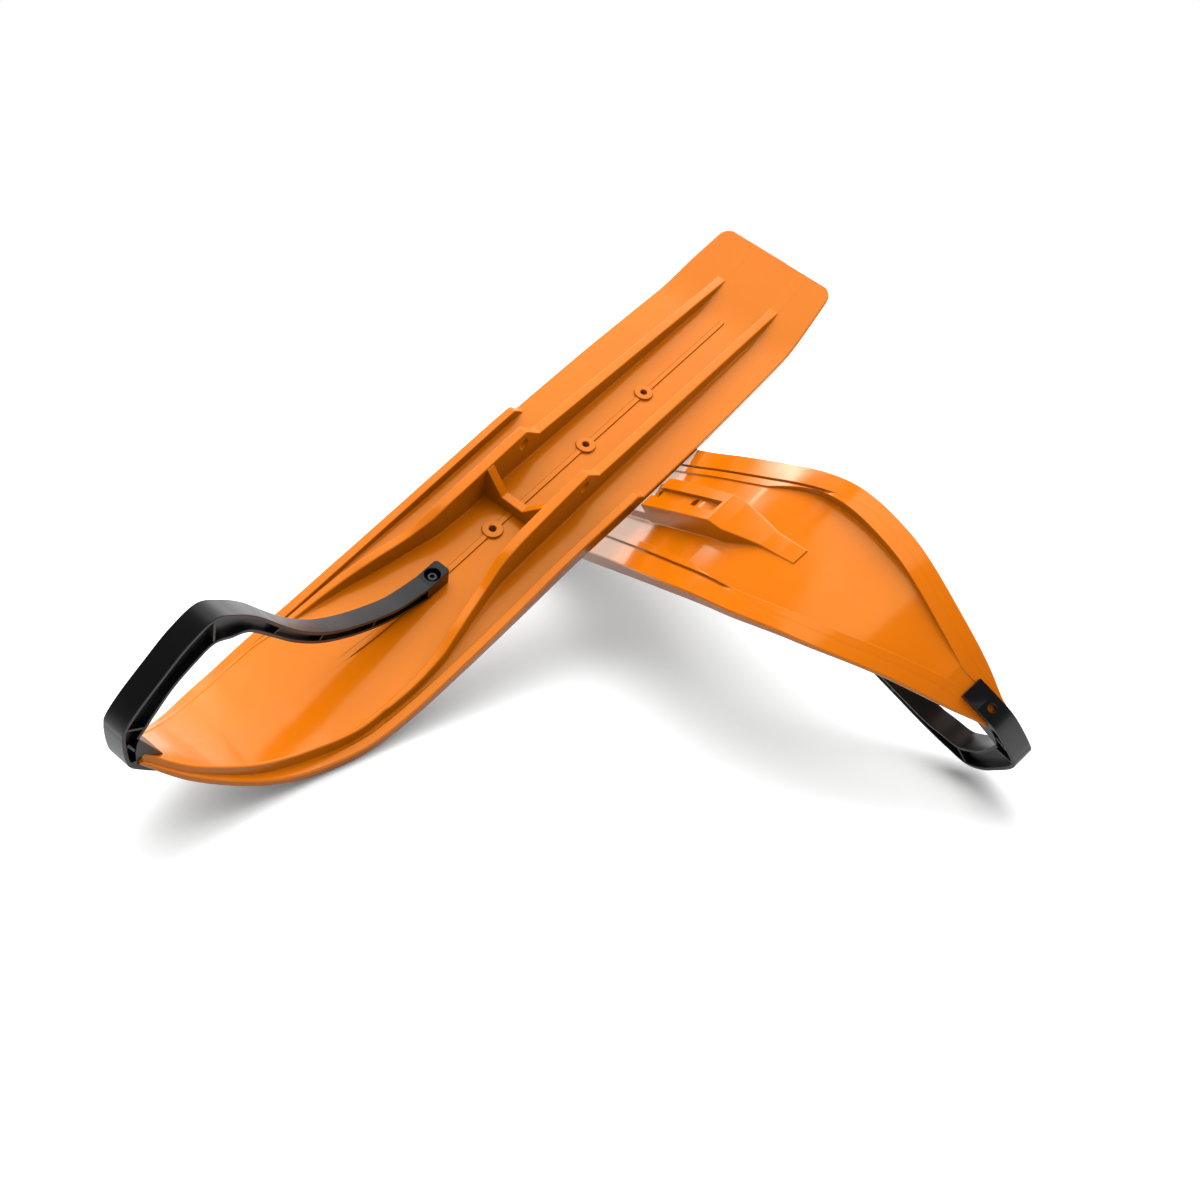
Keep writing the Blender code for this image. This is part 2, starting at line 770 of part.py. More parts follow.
def steps_between(low, high):
    count = max(2, math.ceil((high - low) * BAR_STEPS))
    return [low + (high - low) * index / count for index in range(count + 1)]


def across_bar(pairs, place, inset):
    # Outer and inner edge of the bar at a place, each moved towards the middle
    outer = through([pair[0] for pair in pairs], place)
    inner = through([pair[1] for pair in pairs], place)
    over = (inner - outer).normalized() * inset
    return outer + over, inner - over


def under_jaw(station, drop):
    return ski_point(station, -plate_depth(station) - SEAT_GAP - drop).xz


def over_tongue(station, rise):
    return ski_point(station, wall_height(station) + SEAT_GAP + rise).xz


def handle_outline():
    pairs = handle_points()
    last = len(pairs) - 1
    floor = foot_height()
    walk = steps_between(0.0, last)
    outer = [across_bar(pairs, place, 0.0)[0] for place in walk]
    inner = [across_bar(pairs, place, 0.0)[1] for place in reversed(walk)]
    nose = [follow_tip(point) for point in NOSE_POINTS]
    jaw_run = [TIP_LENGTH, (TIP_LENGTH + JAW_START) / 2.0, JAW_START]
    jaw_out = [under_jaw(station, JAW_THICK) for station in jaw_run]
    jaw_in = [under_jaw(station, 0.0) for station in reversed(jaw_run)]
    throat = [under_jaw(TIP_LENGTH + SEAT_GAP, 0.0), over_tongue(TIP_LENGTH + SEAT_GAP, 0.0)]
    tongue_run = [TIP_LENGTH, (TIP_LENGTH + TONGUE_START) / 2.0, TONGUE_START]
    tongue = [over_tongue(station, 0.0) for station in tongue_run]
    tongue.append(over_tongue(TONGUE_START, TONGUE_TIP))
    tongue.append(follow_tip(TONGUE_ROOT))
    foot = [Vector((FOOT_REAR, floor)), Vector((FOOT_REAR, floor + FOOT_HEIGHT))]
    return foot + outer + nose + jaw_out + jaw_in + throat + tongue + inner


def half_web(pairs, place):
    # Half a cross web, as a share of the run of points that starts at a place
    index = min(len(pairs) - 2, int(place))
    return CROSS_WEB / 2.0 / (pairs[index + 1][0] - pairs[index][0]).length


def handle_pockets(guides):
    # The bar is an I-section: a pocket on each side between every two cross webs
    pairs = handle_points()
    cuts = []
    for low, high in zip(WEB_PLACES, WEB_PLACES[1:]):
        walk = steps_between(low + half_web(pairs, low), high - half_web(pairs, high - 1.0))
        rows = [across_bar(pairs, place, FLANGE) for place in walk]
        outline = [row[0] for row in rows] + [row[1] for row in reversed(rows)]
        for side in (-1, 1):
            near = side * (LOOP_HALF - POCKET_DEPTH)
            far = side * (LOOP_HALF + REACH)
            cuts.append(slab(guides, f"pocket {low} {side}", outline, min(near, far), max(near, far), "XZ"))
    return cuts


def handle_bores(guides):
    place = ski_point(SCREW_STATION, 0.0)
    turn = ski_turn(SCREW_STATION)
    top = FOOT_HEIGHT + REACH
    hole = cylinder(guides, "foot hole", BORE_RADIUS, -REACH, top, place, turn)
    bore = cylinder(guides, "counterbore", COUNTERBORE_RADIUS, COUNTERBORE_SEAT, top, place, turn, ROUND_FACETS)
    station = TIP_LENGTH - JAW_HOLE_BACK
    inside = -plate_depth(station)
    outside = inside - SEAT_GAP - JAW_THICK - REACH
    lie = ski_turn(station)
    jaw = cylinder(guides, "jaw hole", JAW_HOLE_RADIUS, outside, inside, ski_point(station, 0.0), lie)
    return [hole, bore, jaw]


def round_foot(item):
    # Round the two upright corners at the rear of the foot
    shape = bmesh.new()
    shape.from_mesh(item.data)
    corners = [
        edge for edge in shape.edges
        if all(abs(vert.co.x - FOOT_REAR) < 0.00001 for vert in edge.verts)
        and abs(edge.verts[0].co.y - edge.verts[1].co.y) < 0.00001
    ]
    bmesh.ops.bevel(shape, geom=corners, offset=FOOT_CORNER, segments=4, profile=0.5, affect="EDGES")
    shape.to_mesh(item.data)
    shape.free()


def make_handle(guides):
    handle = slab(guides, "handle blank", handle_outline(), -LOOP_HALF, LOOP_HALF, "XZ")
    round_foot(handle)
    combine(handle, handle_bores(guides), "DIFFERENCE")
    combine(handle, handle_pockets(guides), "DIFFERENCE")
    return as_guide(handle)


# Rear screw

def make_screw(guides):
    # Socket head screw, its head down in the counterbore and its end inside the keel
    place = ski_point(SCREW_STATION, 0.0)
    turn = ski_turn(SCREW_STATION)
    seat = COUNTERBORE_SEAT + SEAT_GAP
    top = seat + HEAD_HEIGHT
    screw = cylinder(guides, "screw blank", HEAD_RADIUS, seat, top, place, turn, ROUND_FACETS)
    shank = cylinder(guides, "shank", SCREW_RADIUS, seat - SCREW_LENGTH, seat + SINK, place, turn)
    combine(screw, [shank], "UNION")
    socket = cylinder(guides, "socket", SOCKET_RADIUS, top - SOCKET_DEPTH, top + REACH, place, turn, 6)
    combine(screw, [socket], "DIFFERENCE")
    return as_guide(screw)


# Placing

def pose(turn, place):
    angles = [math.radians(angle) for angle in turn]
    return Matrix.Translation(place) @ Euler(angles, "XYZ").to_matrix().to_4x4()


def place_ski(group, blanks, materials, suffix, matrix):
    made = []
    for name, (blank, material) in blanks.items():
        mesh = blank.data
        if not mesh.materials:
            mesh.materials.append(materials[material])
            mesh.shade_smooth()
            mesh.set_sharp_from_angle(angle=math.radians(SHARP_ANGLE))
        item = bpy.data.objects.new(f"{name}_{suffix}", mesh)
        group.objects.link(item)
        item.matrix_world = matrix
        made.append(item)
    return made


def world_tree(items, lift):
    verts = []
    faces = []
    for item in items:
        base = len(verts)
        verts += [item.matrix_world @ vert.co + Vector((0.0, 0.0, lift)) for vert in item.data.vertices]
        faces += [[base + corner for corner in face.vertices] for face in item.data.polygons]
    return BVHTree.FromPolygons(verts, faces)


def lowest(items):
    return min((item.matrix_world @ vert.co).z for item in items for vert in item.data.vertices)


def shift(items, offset):
    for item in items:
        item.matrix_world = Matrix.Translation(offset) @ item.matrix_world


def rest(lower, upper):
    # Both stand on the floor, and the upper ski is raised until it only just clears the lower one
    shift(lower, (0.0, 0.0, -lowest(lower)))
    shift(upper, (0.0, 0.0, -lowest(upper)))
    base = world_tree(lower, 0.0)
    if world_tree(upper, 0.0).overlap(base):
        low, high = 0.0, LIFT_LIMIT
        while high - low > REST_GAP / 20.0:
            middle = (low + high) / 2.0
            if world_tree(upper, middle).overlap(base):
                low = middle
            else:
                high = middle
        shift(upper, (0.0, 0.0, high + REST_GAP))
        print("upper ski raised by", round(high + REST_GAP, 5))


def centre(items):
    corners = [item.matrix_world @ vert.co for item in items for vert in item.data.vertices]
    middle = [(min(p[axis] for p in corners) + max(p[axis] for p in corners)) / 2.0 for axis in (0, 1)]
    shift(items, (-middle[0], -middle[1], 0.0))
    print("moved to the origin by", [round(-value, 5) for value in middle])


def main():
    clear_scene()
    parts = new_collection("ski_pair")
    guides = new_collection("guides")
    materials = {name: new_material(name) for name in MATERIALS}
    blanks = {
        "ski": (make_ski(guides), "orange_plastic"),
        "loop": (make_handle(guides), "black_plastic"),
        "loop_screw": (make_screw(guides), "dark_steel"),
    }
    lower = place_ski(parts, blanks, materials, "lower", pose(LOWER_TURN, LOWER_PLACE))
    upper = place_ski(parts, blanks, materials, "upper", pose(UPPER_TURN, UPPER_PLACE))
    rest(lower, upper)
    centre(lower + upper)
    for blank, _ in blanks.values():
        bpy.data.objects.remove(blank, do_unlink=True)
    for item in parts.objects:
        print(item.name, len(item.data.polygons), "faces")


main()
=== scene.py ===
import math

import bmesh
import bpy
from mathutils import Euler, Matrix, Vector


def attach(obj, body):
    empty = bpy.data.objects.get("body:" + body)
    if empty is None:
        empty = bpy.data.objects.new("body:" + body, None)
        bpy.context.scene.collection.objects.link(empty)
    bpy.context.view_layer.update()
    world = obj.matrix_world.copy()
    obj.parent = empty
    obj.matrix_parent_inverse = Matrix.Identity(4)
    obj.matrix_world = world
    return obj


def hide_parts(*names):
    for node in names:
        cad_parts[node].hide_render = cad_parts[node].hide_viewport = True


# A pair of moulded snowmobile skis with loop handles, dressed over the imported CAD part.
# Each ski is drawn in its own frame (x to the tip, z out of the top, the cross-bolt over the origin),
# and then laid down as the CAD has it. All sizes are metres.

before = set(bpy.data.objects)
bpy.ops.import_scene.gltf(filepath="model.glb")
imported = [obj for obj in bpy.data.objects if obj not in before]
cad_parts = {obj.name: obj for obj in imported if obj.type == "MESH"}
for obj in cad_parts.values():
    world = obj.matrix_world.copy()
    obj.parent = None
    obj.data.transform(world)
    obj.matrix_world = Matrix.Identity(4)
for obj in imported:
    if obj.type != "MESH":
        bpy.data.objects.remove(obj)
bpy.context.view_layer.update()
scene = bpy.context.scene
print("frame loaded:", sorted(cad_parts))


# helpers

def clamp(value):
    return min(1.0, max(0.0, value))


def makeObject(name, data):
    item = bpy.data.objects.new(name, data)
    scene.collection.objects.link(item)
    return item


def meshFrom(name, shape):
    mesh = bpy.data.meshes.new(name)
    shape.to_mesh(mesh)
    shape.free()
    return mesh


def bakeModifiers(item):
    # plain mesh out of the live modifiers, which are then gone
    depsgraph = bpy.context.evaluated_depsgraph_get()
    mesh = bpy.data.meshes.new_from_object(item.evaluated_get(depsgraph))
    item.modifiers.clear()
    item.data = mesh
    return item


def cutOrJoin(item, others, operation):
    for other in others:
        step = item.modifiers.new(other.name, "BOOLEAN")
        step.operation = operation
        step.solver = "MANIFOLD"
        step.object = other
    bakeModifiers(item)
    for other in others:
        bpy.data.objects.remove(other, do_unlink=True)
    return item


def roundEdges(item, width, segments=2, angle=30.0):
    bevel = item.modifiers.new("soft edges", "BEVEL")
    bevel.width = width
    bevel.segments = segments
    bevel.limit_method = "ANGLE"
    bevel.angle_limit = math.radians(angle)
    return bakeModifiers(item)


def smoothTop(item, angle=32.0):
    # big flat faces keep flat light and the small radii take the turn
    item.data.shade_smooth()
    item.data.set_sharp_from_angle(angle=math.radians(angle))
    weigh = item.modifiers.new("weighted normals", "WEIGHTED_NORMAL")
    weigh.mode = "FACE_AREA"
    weigh.weight = 90
    weigh.keep_sharp = True
    bakeModifiers(item)


def lathe(name, profile, seat=None, sides=48):
    # (radius, height) points from the bottom of the axis to its top, turned round Z and moved to its seat
    shape = bmesh.new()
    rings = []
    for radius, height in profile:
        if radius < 1e-6:
            rings.append([shape.verts.new((0.0, 0.0, height))])
            continue
        ring = []
        for index in range(sides):
            angle = 2.0 * math.pi * index / sides
            ring.append(shape.verts.new((radius * math.cos(angle), radius * math.sin(angle), height)))
        rings.append(ring)
    for low, high in zip(rings, rings[1:]):
        for index in range(sides):
            after = (index + 1) % sides
            if len(low) == 1:
                shape.faces.new((low[0], high[after], high[index]))
            elif len(high) == 1:
                shape.faces.new((low[index], low[after], high[0]))
            else:
                shape.faces.new((low[index], low[after], high[after], high[index]))
    bmesh.ops.recalc_face_normals(shape, faces=shape.faces)
    if seat:
        bmesh.ops.transform(shape, matrix=seat, verts=shape.verts)
    return makeObject(name, meshFrom(name, shape))


def plate(name, outline, low, high, plane="XZ"):
    # closed outline drawn in XZ or YZ, pushed out along the third axis
    shape = bmesh.new()
    ends = []
    for side in (low, high):
        if plane == "XZ":
            ends.append([shape.verts.new((a, side, b)) for a, b in outline])
        else:
            ends.append([shape.verts.new((side, a, b)) for a, b in outline])
    near, far = ends
    shape.faces.new(near)
    shape.faces.new(list(reversed(far)))
    for index in range(len(outline)):
        after = (index + 1) % len(outline)
        shape.faces.new((near[after], near[index], far[index], far[after]))
    bmesh.ops.recalc_face_normals(shape, faces=shape.faces)
    return makeObject(name, meshFrom(name, shape))


# geometry nodes

def newTree(name, sockets):
    tree = bpy.data.node_groups.new(name, "GeometryNodeTree")
    tree.interface.new_socket("Geometry", in_out="INPUT", socket_type="NodeSocketGeometry")
    for label, kind, value in sockets:
        socket = tree.interface.new_socket(label, in_out="INPUT", socket_type=f"NodeSocket{kind}")
        if value is not None:
            socket.default_value = value
    tree.interface.new_socket("Geometry", in_out="OUTPUT", socket_type="NodeSocketGeometry")
    return tree


def addNode(tree, kind, settings=None, values=None, links=None):
    # one node, its properties, its unlinked inputs and its incoming links, where a node stands for its first output
    node = tree.nodes.new(kind)
    for key, value in (settings or {}).items():
        setattr(node, key, value)
    for key, value in (values or {}).items():
        node.inputs[key].default_value = value
    for key, source in (links or {}).items():
        tree.links.new(source if isinstance(source, bpy.types.NodeSocket) else source.outputs[0], node.inputs[key])
    return node


def runTree(item, tree, inputs):
    # sets the inputs by identifier, evaluates once and keeps the plain mesh
    step = item.modifiers.new(tree.name, "NODES")
    step.node_group = tree
    for socket in tree.interface.items_tree:
        if socket.item_type == "SOCKET" and socket.in_out == "INPUT" and socket.name in inputs:
            step[socket.identifier] = inputs[socket.name]
    return bakeModifiers(item)


def endTree(tree, made, source):
    # real geometry in the piece's material
    real = addNode(tree, "GeometryNodeRealizeInstances", links={"Geometry": made})
    dressed = addNode(tree, "GeometryNodeSetMaterial", links={"Geometry": real, "Material": source["Material"]})
    addNode(tree, "NodeGroupOutput", links={"Geometry": dressed})
    return tree


def sweepTree():
    # a bar of rounded rectangular section along every run of edges drawn in XZ
    tree = newTree("roundedBar", [
        ("Width", "Float", 0.0194),
        ("Thickness", "Float", 0.003),
        ("Edge Radius", "Float", 0.0007),
        ("Material", "Material", None),
    ])
    quarter = math.radians(90.0)
    source = addNode(tree, "NodeGroupInput").outputs
    path = addNode(tree, "GeometryNodeMeshToCurve", links={"Mesh": source["Geometry"]})
    flat = addNode(tree, "GeometryNodeTransform", None, {"Rotation": (-quarter, 0.0, 0.0)}, {"Geometry": path})
    level = addNode(tree, "GeometryNodeSetCurveNormal", {"mode": "Z_UP"}, links={"Curve": flat})
    section = addNode(tree, "GeometryNodeCurvePrimitiveQuadrilateral", links={
        "Width": source["Thickness"], "Height": source["Width"]})
    soft = addNode(tree, "GeometryNodeFilletCurve", {"mode": "POLY"}, {"Count": 3}, {
        "Curve": section, "Radius": source["Edge Radius"]})
    swept = addNode(tree, "GeometryNodeCurveToMesh", None, {"Fill Caps": True}, {
        "Curve": level, "Profile Curve": soft})
    stood = addNode(tree, "GeometryNodeTransform", None, {"Rotation": (quarter, 0.0, 0.0)}, {"Geometry": swept})
    return endTree(tree, stood, source)


def ridgeTree():
    # upright ridges set round a screw head, one on each point of a circle
    tree = newTree("headRidges", [
        ("Count", "Int", 40),
        ("Radius", "Float", 0.0049),
        ("Height", "Float", 0.0044),
        ("Size", "Float", 0.0003),
        ("Material", "Material", None),
    ])
    source = addNode(tree, "NodeGroupInput").outputs
    circle = addNode(tree, "GeometryNodeMeshCircle", links={"Vertices": source["Count"], "Radius": source["Radius"]})
    ridge = addNode(tree, "GeometryNodeMeshCylinder", None, {"Vertices": 4}, {
        "Radius": source["Size"], "Depth": source["Height"]})
    spread = addNode(tree, "GeometryNodeInstanceOnPoints", links={"Points": circle, "Instance": ridge})
    joined = addNode(tree, "GeometryNodeJoinGeometry", links={"Geometry": spread})
    tree.links.new(source["Geometry"], joined.inputs["Geometry"])
    return endTree(tree, joined, source)


# materials

times, larger = {"operation": "MULTIPLY"}, {"operation": "MAXIMUM"}
inColour = {"data_type": "RGBA"}       # a Mix node's colours are its inputs 6 and 7 and its output 2


def linear(code):
    # sRGB hex to the linear colour that the shader wants
    values = [int(code[index:index + 2], 16) / 255.0 for index in (1, 3, 5)]
    return [value / 12.92 if value <= 0.04045 else ((value + 0.055) / 1.055) ** 2.4 for value in values] + [1.0]


def newMaterial(name):
    material = bpy.data.materials.new(name)
    material.use_nodes = True
    material.node_tree.nodes.clear()
    return material, material.node_tree


def pieceLayers(tree):
    # where a point lies on its own piece, and how far it has worn
    local = addNode(tree, "ShaderNodeAttribute", {"attribute_name": "local"}).outputs["Vector"]
    return local, addNode(tree, "ShaderNodeAttribute", {"attribute_name": "wear"}).outputs["Fac"]


def makeSkiPlastic():
    # UHMW polyethylene, compression moulded and flame-brightened: saturated colour right through,
    # a semi-gloss skin with a faint orange-peel, whitened where the edges have been knocked
    look = {
        "base": "#FE8307", "deep": "#FC8005", "worn": "#F9A25A",
        "paintedBounceShade": "#2E2A25",            # painted shade: scattered light sees the skis dull grey-brown, greying the paper's shadow and darkening creases
        "shine": "#FFE8A8",             # straight-on shine is warm, it only goes white at a glance
        "noises": {                     # scale and detail
            "cloud": (9.0, 3.0),        # colour drifts over about 110 mm
            "patch": (34.0, 4.0),       # wear comes and goes over 30 mm
            "peel": (260.0, 1.0),       # orange-peel cells of 3.8 mm, drawn as coarse as the render can show
            "grain": (1400.0, 2.0),     # 0.7 mm moulding grain
        },
        "scratchScale": 480.0,          # scratches 2 mm apart
        "scratchStretch": 0.06,         # and 35 mm long, along the ski
        "spans": {"cloud": (0.35, 0.65), "patch": (0.45, 0.72), "scratch": (0.62, 0.78)},
        "bumps": {"peel": (0.03, 0.0003), "grain": (0.06, 0.0002), "scratch": (0.01, 0.0001)},
        "wornShare": 0.06, "scratchShare": 0.03,
        "roughLow": 0.11, "roughHigh": 0.16, "wornRougher": 0.2, "ior": 1.51, "specular": 0.75,
    }
    material, tree = newMaterial("uhmwPolyethyleneMoulded")
    local, wear = pieceLayers(tree)
    noise = {name: addNode(tree, "ShaderNodeTexNoise", None, {"Scale": scale, "Detail": detail}, {"Vector": local})
             for name, (scale, detail) in look["noises"].items()}
    stretch = addNode(tree, "ShaderNodeMapping", None, {"Scale": (look["scratchStretch"], 1.0, 1.0)}, {
        "Vector": local})
    noise["scratch"] = addNode(tree, "ShaderNodeTexNoise", None, {
        "Scale": look["scratchScale"], "Detail": 4.0, "Roughness": 0.7}, {"Vector": stretch})
    span = {name: addNode(tree, "ShaderNodeMapRange", None, {"From Min": low, "From Max": high}, {
        "Value": noise[name]}) for name, (low, high) in look["spans"].items()}
    body = addNode(tree, "ShaderNodeMix", inColour, {6: linear(look["base"]), 7: linear(look["deep"])}, {
        "Factor": span["cloud"]})
    worn = addNode(tree, "ShaderNodeMath", times, links={0: wear, 1: span["patch"]})
    wornSoft = addNode(tree, "ShaderNodeMath", times, {1: look["wornShare"]}, {0: worn})
    marked = addNode(tree, "ShaderNodeMath", times, {1: look["scratchShare"]}, {0: span["scratch"]})
    marks = addNode(tree, "ShaderNodeMath", {"operation": "ADD", "use_clamp": True}, links={0: wornSoft, 1: marked})
    colour = addNode(tree, "ShaderNodeMix", inColour, {7: linear(look["worn"])}, {
        "Factor": marks, 6: body.outputs[2]})
    rays = addNode(tree, "ShaderNodeLightPath").outputs
    # painted shade: light scattered off the skis takes this dark grey-brown, not the orange
    shadeInBounce = addNode(tree, "ShaderNodeMix", inColour, {7: linear(look["paintedBounceShade"])}, {
        "Factor": rays["Is Diffuse Ray"], 6: colour.outputs[2]})
    rough = addNode(tree, "ShaderNodeMapRange", None, {
        "From Min": 0.3, "From Max": 0.7, "To Min": look["roughLow"], "To Max": look["roughHigh"]}, {
        "Value": noise["patch"]})
    rougher = addNode(tree, "ShaderNodeMath", {"operation": "MULTIPLY_ADD"}, {1: look["wornRougher"]}, {
        0: marks, 2: rough})
    normal = {}
    heights = {**noise, "scratch": span["scratch"]}
    for name, (strength, depth) in look["bumps"].items():
        normal = {"Normal": addNode(tree, "ShaderNodeBump", None, {"Strength": strength, "Distance": depth}, {
            "Height": heights[name], **normal})}
    shader = addNode(tree, "ShaderNodeBsdfPrincipled", None, {
        "IOR": look["ior"], "Specular IOR Level": look["specular"], "Specular Tint": linear(look["shine"])}, {
        "Base Color": shadeInBounce.outputs[2], "Roughness": rougher, **normal})
    addNode(tree, "ShaderNodeOutputMaterial", links={"Surface": shader})
    return material


def makeLoopPlastic():
    # glass-filled nylon, injection moulded: charcoal black with a satin spark-eroded grain,
    # greyed where gloves and straps have rubbed the edges
    look = {
        "base": "#0D0D0E", "deep": "#080809", "rubbed": "#2C2C2D",
        "noises": {                     # scale and detail
            "cloud": (22.0, 3.0),       # sheen drifts over 45 mm
            "patch": (70.0, 5.0),       # rubbing comes and goes over 14 mm
            "grain": (900.0, 2.0),      # 1.1 mm grain, twice the real one so that it shows
        },
        "patchLow": 0.42, "patchHigh": 0.7, "rubShare": 0.5, "grainStrength": 0.12,
        "roughLow": 0.30, "roughHigh": 0.40, "ior": 1.53,
    }
    material, tree = newMaterial("glassFilledNylonMoulded")
    local, wear = pieceLayers(tree)
    noise = {name: addNode(tree, "ShaderNodeTexNoise", None, {"Scale": scale, "Detail": detail}, {"Vector": local})
             for name, (scale, detail) in look["noises"].items()}
    body = addNode(tree, "ShaderNodeMix", inColour, {6: linear(look["base"]), 7: linear(look["deep"])}, {
        "Factor": noise["cloud"]})
    patches = addNode(tree, "ShaderNodeMapRange", None, {
        "From Min": look["patchLow"], "From Max": look["patchHigh"]}, {"Value": noise["patch"]})
    rub = addNode(tree, "ShaderNodeMath", times, links={0: wear, 1: patches})
    rubSoft = addNode(tree, "ShaderNodeMath", times, {1: look["rubShare"]}, {0: rub})
    colour = addNode(tree, "ShaderNodeMix", inColour, {7: linear(look["rubbed"])}, {
        "Factor": rubSoft, 6: body.outputs[2]})
    rough = addNode(tree, "ShaderNodeMapRange", None, {
        "From Min": 0.3, "From Max": 0.7, "To Min": look["roughLow"], "To Max": look["roughHigh"]}, {
        "Value": noise["cloud"]})
    bump = addNode(tree, "ShaderNodeBump", None, {
        "Strength": look["grainStrength"], "Distance": 0.0002}, {"Height": noise["grain"]})
    shader = addNode(tree, "ShaderNodeBsdfPrincipled", None, {"IOR": look["ior"]}, {
        "Base Color": colour.outputs[2], "Roughness": rough, "Normal": bump})
    addNode(tree, "ShaderNodeOutputMaterial", links={"Surface": shader})
    return material


def makeScrewSteel():
    # alloy steel, black oxide finish: near-black metal with a soft oily sheen over a fine etched grain
    look = {
        "base": "#3A3A3C", "bright": "#6A6A6D",
        "grainScale": 2600.0,       # 0.4 mm grain
        "grainStrength": 0.08, "roughLow": 0.30, "roughHigh": 0.44,
    }
    material, tree = newMaterial("alloySteelBlackOxide")
    local = addNode(tree, "ShaderNodeAttribute", {"attribute_name": "local"}).outputs["Vector"]
    noise = addNode(tree, "ShaderNodeTexNoise", None, {"Scale": look["grainScale"], "Detail": 2.0}, {"Vector": local})
    colour = addNode(tree, "ShaderNodeMix", inColour, {
        6: linear(look["base"]), 7: linear(look["bright"])}, {"Factor": noise})
    rough = addNode(tree, "ShaderNodeMapRange", None, {
        "To Min": look["roughLow"], "To Max": look["roughHigh"]}, {"Value": noise})
    bump = addNode(tree, "ShaderNodeBump", None, {
        "Strength": look["grainStrength"], "Distance": 0.0001}, {"Height": noise})
    shader = addNode(tree, "ShaderNodeBsdfPrincipled", None, {"Metallic": 1.0}, {
        "Base Color": colour.outputs[2], "Roughness": rough, "Normal": bump})
    addNode(tree, "ShaderNodeOutputMaterial", links={"Surface": shader})
    return material


skiPlastic = makeSkiPlastic()
loopPlastic = makeLoopPlastic()
screwSteel = makeScrewSteel()
print("materials made")


# running line of the ski

line = {
    "tail": 0.502, "kick": 0.121, "kickAngle": 15.0, "kickRound": 0.026,
    "belly": 0.170, "bellyAngle": 1.5,
    "bendStart": 0.252, "bendEnd": 0.590, "bendAngle": 64.5,
    "tip": 0.566, "step": 0.0005, "spare": 0.050,
}
kickStart = line["tail"] - line["kick"]
tip = line["tip"]


def straight(path, at):
    # value on a path of (station, value) points joined by straight runs
    if at <= path[0][0]:
        return path[0][1]
    for low, high in zip(path, path[1:]):
        if at <= high[0]:
            return low[1] + (high[1] - low[1]) * (at - low[0]) / (high[0] - low[0])
    return path[-1][1]


def eased(path, at, reach):
    # the same path with its corners rounded over a reach either side
    total = 0.0
    weights = (1, 3, 6, 7, 6, 3, 1)
    for index, weight in enumerate(weights):
        total += weight * straight(path, at + reach * (index - 3) / 3.0)
    return total / sum(weights)


def smooth(path, at):
    # one smooth curve through the points that never overshoots them
    slopes = [(b[1] - a[1]) / (b[0] - a[0]) for a, b in zip(path, path[1:])]
    tangents = [slopes[0]]
    for before, after in zip(slopes, slopes[1:]):
        tangents.append(2.0 * before * after / (before + after) if before * after > 0.0 else 0.0)
    tangents.append(slopes[-1])
    index = next((i for i in range(len(slopes)) if at <= path[i + 1][0]), len(slopes) - 1)
    low, high = path[index], path[index + 1]
    span = high[0] - low[0]
    t = clamp((at - low[0]) / span)
    rise = (high[1] - low[1]) * t * t * (3.0 - 2.0 * t)
    leave, arrive = span * tangents[index], span * tangents[index + 1]
    return low[1] + rise + leave * t * (1.0 - t) ** 2 - arrive * t * t * (1.0 - t)


def heading(at):
    share = clamp((at - line["bendStart"]) / (line["bendEnd"] - line["bendStart"]))
    angle = line["bendAngle"] * share * share * (3.0 - 2.0 * share)
    if 0.0 < at < line["belly"]:
        angle -= line["bellyAngle"] * math.sin(math.pi * at / line["belly"]) ** 2
    return math.radians(angle)


def traceLine():
    points = [(0.0, 0.0)]
    step = line["step"]
    for index in range(round((tip + line["spare"]) / step)):
        angle = heading((index + 0.5) * step)
        points.append((points[-1][0] + step * math.cos(angle), points[-1][1] + step * math.sin(angle)))
    return points


lineTrace = traceLine()


def kickRise(at):
    # straight past the bend, a parabola through it
    past, reach = -kickStart - at, line["kickRound"]
    if past < reach:
        past = max(0.0, past + reach) ** 2 / (4.0 * reach)
    return past * math.tan(math.radians(line["kickAngle"]))


def skiPoint(at, height, side=0.0):
    # a point at a height over the plate, square to the running line
    if at <= 0.0:
        return Vector((at, side, height + kickRise(at)))
    index = min(len(lineTrace) - 2, int(at / line["step"]))
    low, high = lineTrace[index], lineTrace[index + 1]
    share = at / line["step"] - index
    angle = heading(at)
    x = low[0] + (high[0] - low[0]) * share - math.sin(angle) * height
    z = low[1] + (high[1] - low[1]) * share + math.cos(angle) * height
    return Vector((x, side, z))


def skiSeat(at):
    # a frame that stands on the plate, square to it
    return Matrix.Translation(skiPoint(at, 0.0)) @ Matrix.Rotation(-heading(at), 4, "Y")


# ski body

